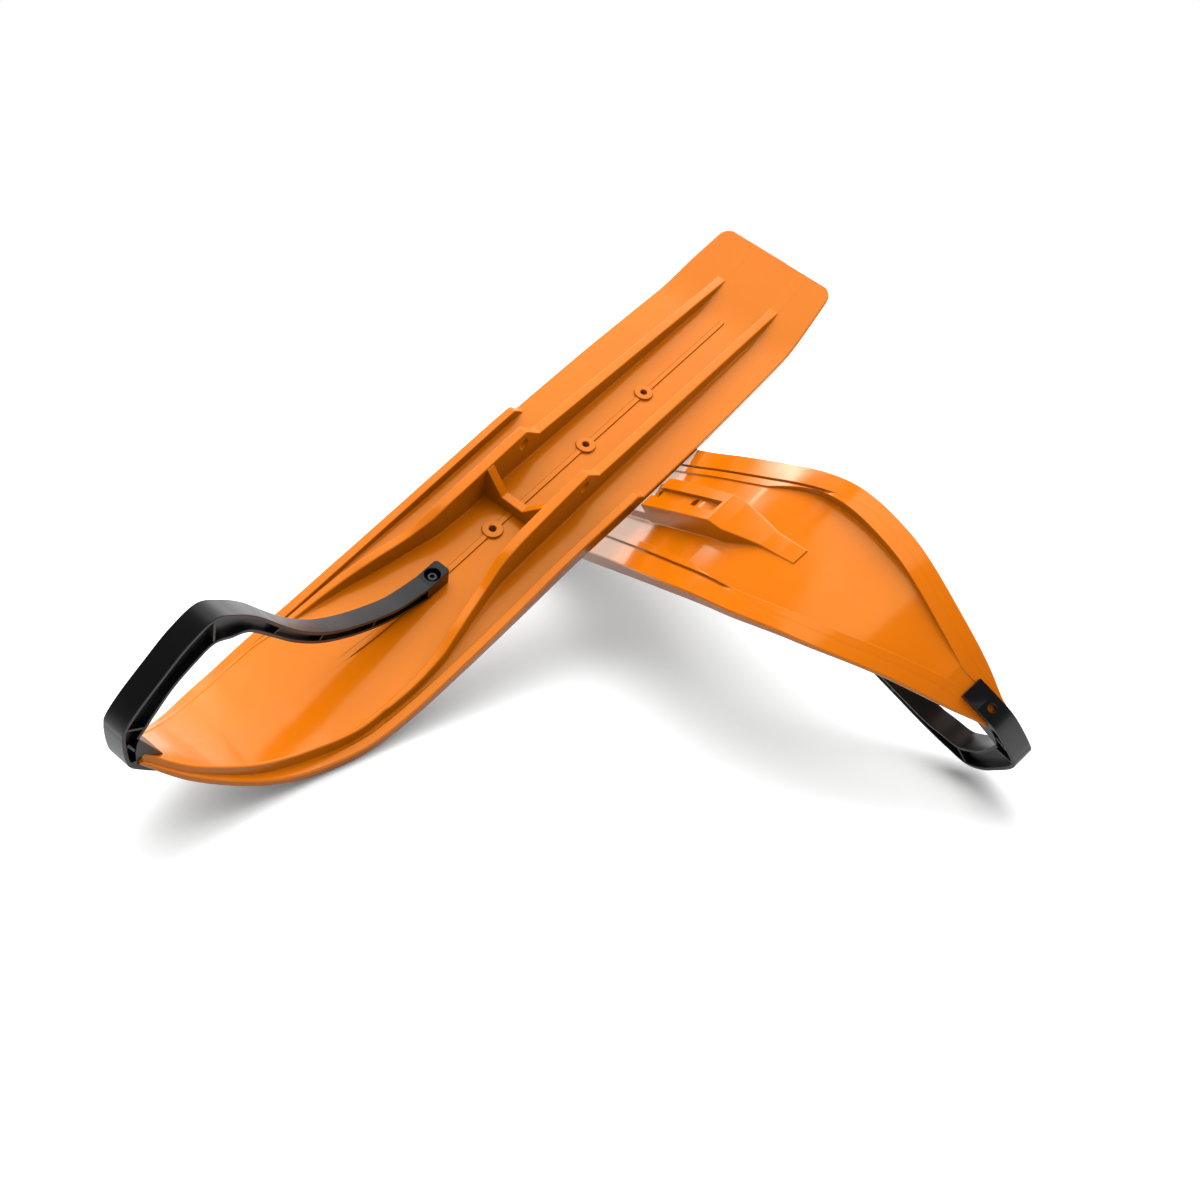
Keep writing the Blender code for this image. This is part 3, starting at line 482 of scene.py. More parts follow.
ski = {
    "heelHalf": 0.0957, "tailInset": 0.0090, "waistInset": 0.0083, "tipHalf": 0.0120, "tailCorner": 0.016,
    "plate": 0.0091, "tipPlate": 0.0070, "edgeCut": 0.0012, "endRadius": 0.0018, "railWidth": 0.0097,
    "channelHalf": 0.0360, "wall": 0.0123, "wallDraft": 0.0008,
    "wallReach": 0.0022, "railReach": 0.004, "keelReach": 0.0025, "ribReach": 0.0015, "rimReach": 0.014,
    "ribHalf": 0.0028, "ribHeight": 0.0014,
    "keelDepth": 0.0302, "keelRunDepth": 0.0172, "keelDraft": 0.0040, "keelFront": 0.2525,
    "keelBack": 0.0880, "rampEnd": 0.3565, "rampLip": 0.0013,
    "grooveOffset": 0.0610, "grooveWidth": 0.0032, "grooveDepth": 0.0034, "grooveEnd": 0.340, "grooveFade": 0.020,
    "panelOffset": 0.0530, "panelSpread": 0.080, "panRim": 0.0215, "panStart": 0.320, "tipRun": 0.045,
    "bulkheadStart": 0.0517, "bulkheadThick": 0.0108, "bulkheadHeight": 0.0412,
    "notchHalf": 0.0138, "notchFloor": 0.0150,
    "boltRadius": 0.0064, "boltHeight": 0.0313,
    "studs": (0.0918, -0.0726, -0.1896), "studRadius": 0.0041, "bossRadius": 0.0113, "bossHeight": 0.0031,
    "pocketRadius": 0.0061, "studPocket": 0.0040, "screwPocket": 0.0052, "screwAt": 0.1862, "screwHole": 0.0033,
    "slotHalf": 0.0068, "slotDepth": 0.0045, "slotDip": 0.0050, "slotDipLength": 0.0400, "slotNose": 0.0070,
    "cutLow": -0.036, "overshoot": 0.004, "sunk": -0.002,
    "closeStep": 0.0055, "wideStep": 0.0120, "arcSteps": 3,
}
panEnd = tip - ski["tipRun"]
rimStart = tip - 0.166
waistHalf = ski["heelHalf"] - ski["waistInset"]
wallOut = ski["channelHalf"] + ski["wall"]
slotRoof = ski["slotDepth"] - ski["keelDepth"]

halfPath = [
    (-line["tail"], ski["heelHalf"] - ski["tailInset"]), (-kickStart, ski["heelHalf"] - 0.0005),
    (-0.240, ski["heelHalf"]), (-0.040, ski["heelHalf"] - 0.0030), (0.080, waistHalf + 0.0015), (0.180, waistHalf),
    (0.260, waistHalf - 0.0020), (0.340, waistHalf - 0.0060), (tip - 0.146, waistHalf - 0.0221),
    (tip - 0.066, waistHalf - 0.0509), (tip, ski["tipHalf"] + 0.0010),
]
railPath = [
    (-0.0612, 0.0), (-0.0459, 0.0136), (0.100, 0.0118), (0.200, 0.0069), (0.300, 0.0045), (tip - 0.186, 0.0014),
    (tip - 0.106, -0.0031), (tip, -0.0036),
]
wallPath = [
    (-0.4297, 0.0132), (-0.0293, 0.0262), (-0.0040, 0.0482), (0.100, 0.0402), (0.130, 0.0360), (0.150, 0.0290),
    (0.172, 0.0238), (0.200, 0.0222), (0.222, 0.0196), (0.240, 0.0160), (0.262, 0.0138), (0.290, 0.0126),
    (rimStart, 0.0128), (tip - 0.146, 0.0110), (tip - 0.126, 0.0086), (tip - 0.106, 0.0062), (tip - 0.076, 0.0040),
    (tip - 0.046, 0.0016), (tip, 0.0009),
]
floorPath = [(0.225, 0.0), (0.262, 0.0026), (0.290, 0.0066), (0.320, 0.0108), (0.350, 0.0121), (rimStart, 0.0124)]
wallOutPath = [
    (0.100, wallOut), (0.135, wallOut + 0.0006), (0.160, wallOut + 0.0036), (0.190, wallOut + 0.0090),
    (0.220, wallOut + 0.0148), (0.250, wallOut + 0.0196), (0.285, wallOut + 0.0208), (0.320, wallOut + 0.0196),
]
wallInPath = [(at, value + ski["channelHalf"]) for at, value in (
    (0.100, 0.0), (0.135, 0.0016), (0.160, 0.0060), (0.190, 0.0112), (0.220, 0.0170), (0.250, 0.0226),
    (0.285, 0.0256), (0.320, 0.0262))]
shoulderPath = [
    (0.320, 0.0160), (0.350, 0.0140), (tip - 0.136, 0.0118), (tip - 0.106, 0.0090), (tip - 0.076, 0.0066),
    (tip - 0.036, 0.0040), (tip, 0.0030),
]
panPath = [
    (0.240, -0.0071), (0.300, -0.0030), (0.335, 0.0020), (0.370, 0.0040), (tip - 0.146, 0.0026),
    (tip - 0.106, -0.0020), (tip - 0.066, -0.0058), (panEnd, -0.0086),
]
keelHalfPath = [
    (-0.331, 0.01125), (-0.270, 0.0225), (0.090, 0.0225), (0.2525, 0.0180), (0.2698, 0.0180), (0.3135, 0.0095),
    (0.3565, 0.0080),
]
keelPath = [
    (-0.331, 0.0071), (-0.270, 0.0172), (0.0840, 0.0172), (0.0880, 0.0302), (0.2525, 0.0302), (0.2698, 0.0215),
    (0.3135, 0.0043), (0.3365, -0.0010), (0.3565, -0.0045),
]
ribPath = [
    (-0.3715, 0.0), (-0.3711, 1.0), (0.1676, 1.0), (0.1680, 0.0), (0.2050, 0.0), (0.2054, 1.0), (0.290, 1.0),
    (0.310, 0.0),
]


def halfWidth(at):
    if at > panEnd:
        full, last = smooth(halfPath, panEnd), smooth(halfPath, at)
        share = (at - panEnd) / (tip - panEnd)
        return min(full, last) - (last - ski["tipHalf"]) * share ** 4
    inset = line["tail"] + at
    corner = ski["tailCorner"]
    cut = corner - math.sqrt(corner ** 2 - (corner - inset) ** 2) if inset < corner else 0.0
    return smooth(halfPath, at) - cut


def plateDepth(at):
    share = clamp((at - panEnd) / (tip - panEnd))
    return ski["plate"] + (ski["tipPlate"] - ski["plate"]) * share


def floorHeight(at):
    if at > rimStart:
        return eased(wallPath, at, ski["rimReach"]) - 0.0002
    return smooth(floorPath, at)


def wallHeight(at):
    reach = ski["wallReach"] + 0.012 * clamp((at - 0.06) / 0.05)
    height = eased(wallPath, at, reach) - kickRise(at)
    return max(height, floorHeight(at) + 0.0001)


def wallEdges(at, half):
    if at <= ski["panStart"]:
        return smooth(wallOutPath, at), smooth(wallInPath, at)
    outer = half - smooth(shoulderPath, at)
    return outer, min(smooth(wallInPath, ski["panStart"]), outer - 0.0030)


def sectionCorners(at):
    # (side, height, rounding radius, wear) from the middle of the underside round to the middle of the top
    half = halfWidth(at)
    low = -plateDepth(at)
    rail = eased(railPath, at, ski["railReach"])
    flange = min(0.0, rail)
    outer, inner = wallEdges(at, half)
    wall, floor = wallHeight(at), floorHeight(at)
    share = clamp((at - ski["panStart"] + ski["panelSpread"]) / ski["panelSpread"])
    panel = max(0.0064, ski["panelOffset"] + (half - ski["panRim"] - ski["panelOffset"]) * share)
    roof = smooth(panPath, at)
    if at > panEnd:
        roof = low + 0.0005
        panel = min(panel, half * 0.5)
    lip = ski["rampLip"] * clamp((ski["rampEnd"] - at) / 0.0006)
    keel = min(roof - (lip if at > 0.3 else 0.0), -eased(keelPath, at, ski["keelReach"]))
    keelHalf = min(eased(keelHalfPath, at, ski["keelReach"]), half * 0.25)
    draft = min(ski["keelDraft"] * (0.1 + (roof - keel) / ski["keelDepth"]), half * 0.1)
    rim = half - panel
    grooveIn = min(ski["grooveOffset"], panel + rim * 0.35)
    grooveOut = min(grooveIn + ski["grooveWidth"], panel + rim * 0.5)
    fade = min(1.0, max(0.02, (ski["grooveEnd"] - at) / ski["grooveFade"]))
    grooveTop = low + ski["grooveDepth"] * fade
    cut = min(ski["edgeCut"], half * 0.08)
    railWidth = min(ski["railWidth"], (half - outer) * 0.8)
    rib = min(ski["ribHalf"], half * 0.08)
    ribShare = max(0.02, eased(ribPath, at, ski["ribReach"]))
    ribTop, crease = floor + ski["ribHeight"] * ribShare, 0.0006 * ribShare
    draftHalf = ski["wallDraft"] * 0.5
    return [
        (0.0, keel, 0.0, 0.3),
        (keelHalf, keel, 0.0012, 1.0),
        (keelHalf + draft, roof, 0.0016, 0.0),
        (panel - 0.0003, roof, 0.0005, 0.0),
        (panel, low, 0.0006, 0.6),
        (grooveIn, low, 0.0003, 0.4),
        (grooveIn + 0.0001, grooveTop, 0.0002, 0.0),
        (grooveOut - 0.0001, grooveTop, 0.0002, 0.0),
        (grooveOut, low, 0.0003, 0.4),
        (half - cut, low, 0.0008, 0.9),
        (half, low + cut, 0.0008, 0.9),
        (half, rail - cut, 0.0010, 0.7),
        (half - cut, rail, 0.0010, 0.7),
        (half - railWidth, rail, 0.0012, 0.6),
        (half - railWidth - 0.0004, flange, 0.0014, 0.0),
        (outer + draftHalf, flange, 0.0020, 0.0),
        (outer - draftHalf, wall, 0.0016, 0.9),
        (inner + draftHalf, wall, 0.0016, 0.9),
        (inner - draftHalf, floor, 0.0016, 0.0),
        (rib + 0.0010, floor, 0.0002, 0.0),
        (rib + 0.0004, floor - crease, 0.0001, 0.0),
        (rib, ribTop, 0.0002, 0.3),
        (0.0, ribTop, 0.0, 0.1),
    ]


def sectionRow(at):
    # the corners turned into short arcs, always the same number of points
    corners = sectionCorners(at)
    row = [corners[0][:2] + (corners[0][3],)]
    for before, here, after in zip(corners, corners[1:], corners[2:]):
        point = Vector(here[:2])
        back, ahead = Vector(before[:2]) - point, Vector(after[:2]) - point
        turn = math.pi - back.angle(ahead) if back.length > 1e-7 and ahead.length > 1e-7 else 0.0
        trim = max(0.00003, here[2] * math.tan(min(turn, 2.6) / 2.0))
        trim = min(trim, back.length * 0.45, ahead.length * 0.45)
        start = point + back.normalized() * trim if back.length > 1e-7 else point
        end = point + ahead.normalized() * trim if ahead.length > 1e-7 else point
        for index in range(ski["arcSteps"] + 1):
            t = index / ski["arcSteps"]
            spot = start * (1 - t) ** 2 + point * 2 * t * (1 - t) + end * t * t
            row.append((spot.x, spot.y, here[3]))
    row.append(corners[-1][:2] + (corners[-1][3],))
    return row


def skiStations():
    marks = [-line["tail"] + ski["tailCorner"] * (1.0 - math.cos(math.radians(turn))) for turn in range(0, 91, 9)]
    marks += [-line["tail"] + inset for inset in (0.0003, 0.0008, 0.0015, 0.0025)]
    marks += [-kickStart + line["kickRound"] * share / 4.0 for share in range(-4, 5)]
    marks += [panEnd, panEnd + 0.0004, tip]
    marks += [ski["rampEnd"] + step for step in (-0.0012, -0.0006, 0.0, 0.0008)]
    marks += [tip - inset for inset in (0.0005, 0.0012, 0.0025, 0.0045, 0.008, 0.013, 0.020)]
    for path, name in ((wallPath[:4], "wall"), (railPath[:3], "rail"), (keelPath, "keel"), (ribPath, "rib")):
        for at, _ in path:
            marks += [at + ski[f"{name}Reach"] * share for share in (-1.0, -0.6, -0.25, 0.0, 0.25, 0.6, 1.0)]
    at = -line["tail"] + 0.02
    while at < tip - 0.024:
        if min(abs(at - mark) for mark in marks) > 0.0025:
            marks.append(at)
        at += ski["closeStep"] if at > 0.09 else ski["wideStep"]
    return sorted({round(mark, 5) for mark in marks if -line["tail"] - 1e-6 <= mark <= tip + 1e-6})


def endRound(at):
    # how far the plate's faces draw in at the tail and tip edges
    near = min(line["tail"] + at, tip - at)
    radius = ski["endRadius"]
    return radius - math.sqrt(radius ** 2 - (radius - near) ** 2) if near < radius else 0.0


def loftSki():
    shape = bmesh.new()
    wearLayer = shape.verts.layers.float.new("wear")
    rings = []
    for at in skiStations():
        draw = endRound(at)
        points = sectionRow(at)
        middle = (min(p[1] for p in points) + max(p[1] for p in points)) / 2.0
        ring = []
        for side, height, wear in points + [(-p[0], p[1], p[2]) for p in points[-2:0:-1]]:
            height += draw if height < middle else -draw
            vert = shape.verts.new(skiPoint(at, height, side))
            vert[wearLayer] = wear if draw < 1e-5 else 1.0
            ring.append(vert)
        rings.append(ring)
    for before, after in zip(rings, rings[1:]):
        for index in range(len(before)):
            following = (index + 1) % len(before)
            shape.faces.new((before[index], before[following], after[following], after[index]))
    shape.faces.new(rings[0])
    shape.faces.new(list(reversed(rings[-1])))
    bmesh.ops.recalc_face_normals(shape, faces=shape.faces)
    openEdges = sum(not edge.is_manifold for edge in shape.edges)
    print("ski loft:", len(shape.faces), "faces,", openEdges, "open edges")
    return makeObject("skiBody", meshFrom("skiBody", shape))


def crossWall():
    reach = ski["channelHalf"] + ski["wall"] / 2.0
    edge = ski["channelHalf"] - ski["wallDraft"]
    top, low, notch = ski["bulkheadHeight"], ski["notchFloor"], ski["notchHalf"]
    outline = [(-reach, ski["sunk"]), (reach, ski["sunk"]), (reach, top), (edge, top), (notch, low), (-notch, low),
               (-edge, top), (-reach, top)]
    start = ski["bulkheadStart"]
    return roundEdges(plate("crossWall", outline, start, start + ski["bulkheadThick"], "YZ"), 0.0012, 3)


def studBosses():
    radius, height, sunk = ski["bossRadius"], ski["bossHeight"], ski["sunk"]
    profile = [(0.0, sunk), (radius + 0.0009, sunk), (radius + 0.0009, 0.0), (radius + 0.0003, 0.0003),
               (radius, 0.0009), (radius, height - 0.0008), (radius - 0.0002, height - 0.0003),
               (radius - 0.0008, height), (0.0, height)]
    return [lathe(f"boss{index}", profile, skiSeat(at), 64) for index, at in enumerate(ski["studs"])]


def keelSlot():
    nose = ski["keelFront"] - ski["slotNose"]
    back, mouth = ski["keelBack"] - 0.008, -ski["keelDepth"] - 0.004
    even = nose - ski["slotDipLength"] - back
    along = [(back, mouth)] + [(back + even * index / 16.0, slotRoof) for index in range(17)]
    along += [(nose, slotRoof + ski["slotDip"]), (nose, mouth)]
    outline = [skiPoint(at, height).xz for at, height in along]
    return plate("keelSlot", outline, -ski["slotHalf"], ski["slotHalf"])


def flaredHole(name, radius, low, high, flare, at):
    # through hole whose upper rim at height high is broken by a small flare
    end = high + ski["overshoot"]
    profile = [(0.0, low), (radius, low), (radius, high - flare), (radius + flare, high), (radius + flare, end),
               (0.0, end)]
    return lathe(name, profile, skiSeat(at), 40)


def roundPocket(name, seat, depth, at):
    radius, flare, start = ski["pocketRadius"], 0.0004, seat - ski["overshoot"]
    profile = [(0.0, start), (radius + flare, start), (radius + flare, seat), (radius, seat + flare),
               (radius, seat + depth), (0.0, seat + depth)]
    return lathe(name, profile, skiSeat(at), 48)


def skiHoles():
    cuts = []
    for index, at in enumerate(ski["studs"]):
        seat = slotRoof if at > ski["keelBack"] else -ski["keelRunDepth"]
        cuts.append(flaredHole(f"stud{index}", ski["studRadius"], ski["cutLow"], ski["bossHeight"], 0.0005, at))
        cuts.append(roundPocket(f"studPocket{index}", seat, ski["studPocket"], at))
    cuts.append(flaredHole("screwWay", ski["screwHole"], ski["cutLow"], 0.0, 0.0003, ski["screwAt"]))
    cuts.append(roundPocket("screwPocket", slotRoof, ski["screwPocket"], ski["screwAt"]))
    radius, flare, side = ski["boltRadius"], 0.0009, wallOut + ski["overshoot"]
    inner, outer = ski["channelHalf"] - 0.0001, wallOut + 0.0001
    half = [(radius + flare, inner), (radius, inner + flare), (radius, outer - flare), (radius + flare, outer),
            (radius + flare, side), (0.0, side)]
    across = Matrix.Translation((0.0, 0.0, ski["boltHeight"])) @ Matrix.Rotation(math.radians(90.0), 4, "X")
    bolt = lathe("boltWay", [(r, -y) for r, y in reversed(half)] + half, across, 48)
    return cuts + [bolt]


def makeSki():
    body = loftSki()
    cutOrJoin(body, [crossWall()] + studBosses(), "UNION")
    cutOrJoin(body, [keelSlot()], "DIFFERENCE")
    cutOrJoin(body, skiHoles(), "DIFFERENCE")
    return body


# loop handle

loop = {
    "half": 0.0097, "flange": 0.0030, "webPlate": 0.0070, "crossWeb": 0.0020,
    "footBack": 0.0162, "footFore": 0.0128, "footHeight": 0.0190, "footCorner": 0.0040,
    "jawLength": 0.0290, "jawThick": 0.0045, "tongueLength": 0.0220, "tongueTip": 0.0012,
    "tongueRoot": (0.5032, 0.1665), "nose": ((0.5135, 0.1805), (0.5157, 0.1710), (0.5175, 0.1590), (0.5182, 0.1470)),
    "counterRadius": 0.0080, "counterDepth": 0.0100, "jawHoleRadius": 0.0034, "jawHoleBack": 0.0078, "gap": 0.0003,
    "webs": (2.0, 4.0, 6.0, 9.0), "webInset": 0.0012, "webEdge": 0.0004, "bite": 0.6, "edge": 0.0007,
    "stepsPerRun": 12,
    "frontWebs": (((0.5118, 0.1693), (0.5093, 0.1558)), ((0.5088, 0.1868), (0.4973, 0.1738))),
}
footFloor = skiPoint(ski["screwAt"], loop["gap"]).z
footRear, footFront = ski["screwAt"] - loop["footBack"], ski["screwAt"] + loop["footFore"]
barOuter = [
    (footFront, footFloor + loop["footHeight"]), (0.2400, 0.0290), (0.2720, 0.0478), (0.3040, 0.0715),
    (0.3330, 0.0990), (0.3560, 0.1300), (0.3720, 0.1580), (0.3910, 0.1940), (0.4080, 0.2170), (0.4245, 0.2312),
    (0.4480, 0.2265), (0.4710, 0.2146), (0.4960, 0.2000), (0.5098, 0.1888),
]
barInner = [
    (footFront, footFloor), (0.2460, 0.0175), (0.2800, 0.0375), (0.3120, 0.0620), (0.3420, 0.0915), (0.3660, 0.1240),
    (0.3850, 0.1570), (0.4020, 0.1850), (0.4170, 0.1955), (0.4305, 0.2042), (0.4460, 0.2010), (0.4670, 0.1926),
    (0.4860, 0.1796), (0.4965, 0.1712),
]


def through(points, place):
    # smooth curve through the points, read at a place counted in points
    index = min(len(points) - 2, int(place))
    t = place - index
    low, high = Vector(points[index]), Vector(points[index + 1])
    lead = (high - Vector(points[max(0, index - 1)])) * 0.5
    trail = (Vector(points[min(len(points) - 1, index + 2)]) - low) * 0.5
    run = low * (2 * t ** 3 - 3 * t ** 2 + 1) + high * (3 * t ** 2 - 2 * t ** 3)
    return run + lead * (t ** 3 - 2 * t ** 2 + t) + trail * (t ** 3 - t ** 2)


def underJaw(at, drop):
    return skiPoint(at, -plateDepth(at) - loop["gap"] - drop).xz


def overTongue(at, rise):
    return skiPoint(at, wallHeight(at) + loop["gap"] + rise).xz


def densePath(points):
    count = (len(points) - 1) * loop["stepsPerRun"]
    return [through(points, index / loop["stepsPerRun"]) for index in range(count + 1)]


def offsetPath(points, distance):
    # the path moved square to itself, to its left when distance is positive
    moved = []
    for index, point in enumerate(points):
        ahead = points[min(len(points) - 1, index + 1)] - points[max(0, index - 1)]
        across = Vector((-ahead.y, ahead.x)).normalized()
        moved.append(point + across * distance)
    return moved


def guideMesh(name, runs):
    # open polylines in XZ for a node tree to follow
    verts, edges = [], []
    for run in runs:
        base = len(verts)
        verts += [(point[0], 0.0, point[1]) for point in run]
        edges += [(base + index, base + index + 1) for index in range(len(run) - 1)]
    mesh = bpy.data.meshes.new(name)
    mesh.from_pydata(verts, edges, [])
    return makeObject(name, mesh)


def loopFlanges(sweep):
    half = loop["flange"] / 2.0
    jaw = [underJaw(at, loop["jawThick"]) for at in (tip, tip - loop["jawLength"] / 2.0)]
    outer = densePath(barOuter + list(loop["nose"]) + jaw)
    inner = densePath(barInner + [loop["tongueRoot"]])
    made = []
    for name, path, side in (("outerFlange", outer, -half), ("innerFlange", inner, half)):
        bar = guideMesh(name, [offsetPath(path, side)])
        runTree(bar, sweep, {"Width": loop["half"] * 2.0, "Thickness": loop["flange"], "Edge Radius": loop["edge"],
                             "Material": loopPlastic})
        made.append(bar)
    return made


def loopWebs(sweep):
    inset = loop["flange"] * loop["bite"]
    runs = []
    for place in loop["webs"]:
        outer, inner = through(barOuter, place), through(barInner, place)
        over = (inner - outer).normalized() * inset
        runs.append([outer + over, inner - over])
    runs += [[Vector(point) for point in web] for web in loop["frontWebs"]]
    ribs = guideMesh("crossWebs", runs)
    return runTree(ribs, sweep, {"Width": loop["half"] * 2.0 - loop["webInset"], "Thickness": loop["crossWeb"],
                                 "Edge Radius": loop["webEdge"], "Material": loopPlastic})


def webPlate():
    # the thin middle of the I-section, from the foot to the nose
    inset = loop["flange"] * loop["bite"]
    outer = offsetPath(densePath(barOuter + list(loop["nose"])), -inset)
    inner = offsetPath(densePath(barInner + [loop["tongueRoot"]]), inset)
    outline = outer + [(0.5128, 0.1420), (0.5112, 0.1500)] + inner[::-1]
    return plate("webPlate", outline, -loop["webPlate"] / 2.0, loop["webPlate"] / 2.0)


def noseBlock():
    # the grip: jaw under the tip, tongue over it, and the solid front between them
    jawRun = [tip, tip - loop["jawLength"] / 2.0, tip - loop["jawLength"]]
    tongueRun = [tip, tip - loop["tongueLength"] / 2.0, tip - loop["tongueLength"]]
    outline = [(0.5168, 0.1560), (0.5179, 0.1500)]
    outline += [underJaw(at, loop["jawThick"]) for at in jawRun]
    outline += [underJaw(at, 0.0) for at in reversed(jawRun)]
    outline += [underJaw(tip + loop["gap"], 0.0), overTongue(tip + loop["gap"], 0.0)]
    outline += [overTongue(at, 0.0) for at in tongueRun]
    outline += [overTongue(tongueRun[-1], loop["tongueTip"]), loop["tongueRoot"]]
    outline += [(0.5062, 0.1630), (0.5098, 0.1540), (0.5118, 0.1440), (0.5150, 0.1462)]
    return roundEdges(plate("noseBlock", outline, -loop["half"], loop["half"]), loop["edge"], 3)


def footBlock():
    floor, top = footFloor, footFloor + loop["footHeight"]
    front = footFront + 0.004
    rise = through(barOuter, 0.12)
    outline = [(footRear, floor), (front, floor + 0.0012), (front, rise.y), (footFront, top), (footRear, top)]
    block = plate("footBlock", outline, -loop["half"], loop["half"])
    shape = bmesh.new()
    shape.from_mesh(block.data)
    corners = [edge for edge in shape.edges if all(abs(vert.co.x - footRear) < 1e-5 for vert in edge.verts)
               and abs(edge.verts[0].co.y - edge.verts[1].co.y) < 1e-5]
    bmesh.ops.bevel(shape, geom=corners, offset=loop["footCorner"], segments=8, profile=0.5, affect="EDGES")
    shape.to_mesh(block.data)
    shape.free()
    return roundEdges(block, loop["edge"], 3, 40.0)


def loopBores():
    over = ski["overshoot"]
    top = loop["gap"] + loop["footHeight"]
    seat = top - loop["counterDepth"]
    radius, flare = loop["counterRadius"], 0.0006
    bore = lathe("counterbore", [
        (0.0, -over), (ski["screwHole"], -over), (ski["screwHole"], seat), (radius, seat), (radius, top - flare),
        (radius + flare, top), (radius + flare, top + over), (0.0, top + over)], skiSeat(ski["screwAt"]), 64)
    at = tip - loop["jawHoleBack"]
    inside = -plateDepth(at)
    outside = inside - loop["gap"] - loop["jawThick"]
    radius, flare = loop["jawHoleRadius"], 0.0004
    jaw = lathe("jawWay", [
        (0.0, outside - over), (radius + flare, outside - over), (radius + flare, outside), (radius, outside + flare),
        (radius, inside), (0.0, inside)], skiSeat(at), 40)
    return [bore, jaw]


def makeLoop():
    body, sweep = footBlock(), sweepTree()
    cutOrJoin(body, [webPlate(), noseBlock()] + loopFlanges(sweep) + [loopWebs(sweep)], "UNION")
    cutOrJoin(body, loopBores(), "DIFFERENCE")
    print("loop:", len(body.data.polygons), "faces")
    return body


# rear screw

screw = {
    "headRadius": 0.0050, "headHeight": 0.0060, "shankRadius": 0.0030, "length": 0.0250, "socketRadius": 0.0028,
    "socketDepth": 0.0030, "pitch": 0.0010, "threadDepth": 0.0004, "plain": 0.0060,
    "ridges": 40, "ridgeHeight": 0.0046, "ridgeSize": 0.0003,
}


def makeScrew():
    seat = loop["gap"] * 2.0 + loop["footHeight"] - loop["counterDepth"]
    top = seat + screw["headHeight"]
    head, shank = screw["headRadius"] - 0.00015, screw["shankRadius"]
    profile = [(0.0, seat - screw["length"]), (shank - 0.0005, seat - screw["length"])]
    height = seat - screw["length"] + 0.0005
    while height < seat - screw["plain"]:     # thread crests and roots
        profile += [(shank, height), (shank - screw["threadDepth"], height + screw["pitch"] / 2.0)]
        height += screw["pitch"]
    profile += [(shank, height), (shank, seat), (head - 0.0002, seat), (head, seat + 0.0002), (head, top - 0.0006),
                (head - 0.0002, top - 0.0002), (head - 0.0006, top), (0.0, top)]
    body = lathe("screwBody", profile, sides=48)
    socket = lathe("socket", [
        (0.0, top - screw["socketDepth"] - 0.0006), (screw["socketRadius"], top - screw["socketDepth"]),
        (screw["socketRadius"], top + 0.002), (0.0, top + 0.002)], sides=6)
    cutOrJoin(body, [socket], "DIFFERENCE")
    lift = (seat + top) / 2.0 - 0.0002
    body.data.transform(Matrix.Translation((0.0, 0.0, -lift)))
    runTree(body, ridgeTree(), {"Count": screw["ridges"], "Radius": screw["headRadius"] - screw["ridgeSize"],
                                "Height": screw["ridgeHeight"], "Size": screw["ridgeSize"], "Material": screwSteel})
    body.data.transform(skiSeat(ski["screwAt"]) @ Matrix.Translation((0.0, 0.0, lift)))
    return body


# laying the pieces down

lay = {
    "upper": {"turn": (-30.89, 23.60, -129.90), "place": (-0.04997, -0.04727, 0.18359)},
    "lower": {"turn": (-143.84, -7.65, -70.90), "place": (0.06003, 0.02363, 0.13909)},
}


def keepLocal(mesh):
    # the ski's own coordinates stay on the mesh, so that patterns follow the moulding
    if "local" in mesh.attributes:
        mesh.attributes.remove(mesh.attributes["local"])
    layer = mesh.attributes.new("local", "FLOAT_VECTOR", "POINT")
    for index, vert in enumerate(mesh.vertices):
        layer.data[index].vector = vert.co
    if "wear" not in mesh.attributes:
        mesh.attributes.new("wear", "FLOAT", "POINT")


def layDown(blank, name, node, material):
    for side, pose in lay.items():
        mesh = blank.data.copy()
        mesh.name = f"{name}{side.capitalize()}"
        angles = [math.radians(angle) for angle in pose["turn"]]
        mesh.transform(Matrix.Translation(pose["place"]) @ Euler(angles, "XYZ").to_matrix().to_4x4())
        mesh.materials.clear()
        mesh.materials.append(material)
        item = makeObject(mesh.name, mesh)
        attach(item, f"{side}_ski")
        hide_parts(f"{node}_{side}")
    bpy.data.objects.remove(blank, do_unlink=True)


def prepare(item, angle=32.0):
    keepLocal(item.data)
    smoothTop(item, angle)
    return item


layDown(prepare(makeSki(), 35.0), "ski", "ski", skiPlastic)
print("skis laid down")
layDown(prepare(makeLoop()), "loop", "loop", loopPlastic)
layDown(prepare(makeScrew()), "screw", "loop_screw", screwSteel)
print("loops and screws laid down")


# studio

studio = {
    "cameraPlace": (0.00943, -1.10607, 0.4322),
    "lookDown": 20.145,
    "focal": 978.24,              # pixels, in a picture 1200 wide
    "floorSize": 40.0,
    "floorDrop": 0.0004,          # how far the paper lies under the pieces
    "floorSeen": 1.10,            # how pale the paper is to the camera,
    "floorShines": 0.82,          # in what shines back,
    "floorGives": 0.20,           # and in the light that it gives back to the skis
    "liftStart": 0.65,            # from here out the paper is lifted to white
    "liftEnd": 2.2,
    "liftLevel": 1.2,
    "gapLevel": 0.06,             # what shines back between the soft boxes
}
skyRamps = {
    # axis, where the ramp starts and ends along it, and the level at each
    "low": ("Z", 0.38, 0.28, studio["gapLevel"], 1.0),        # what shines back is white low down
    "behind": ("Y", -0.3, 0.2, studio["gapLevel"], 1.0),      # and at the back only
    "dome": ("Z", 0.0, 0.85, 0.32, 1.72),                     # light from the side and from overhead
    "side": ("Y", -0.7, 0.15, 0.42, 1.0),                     # and the share of it from the camera's side
}
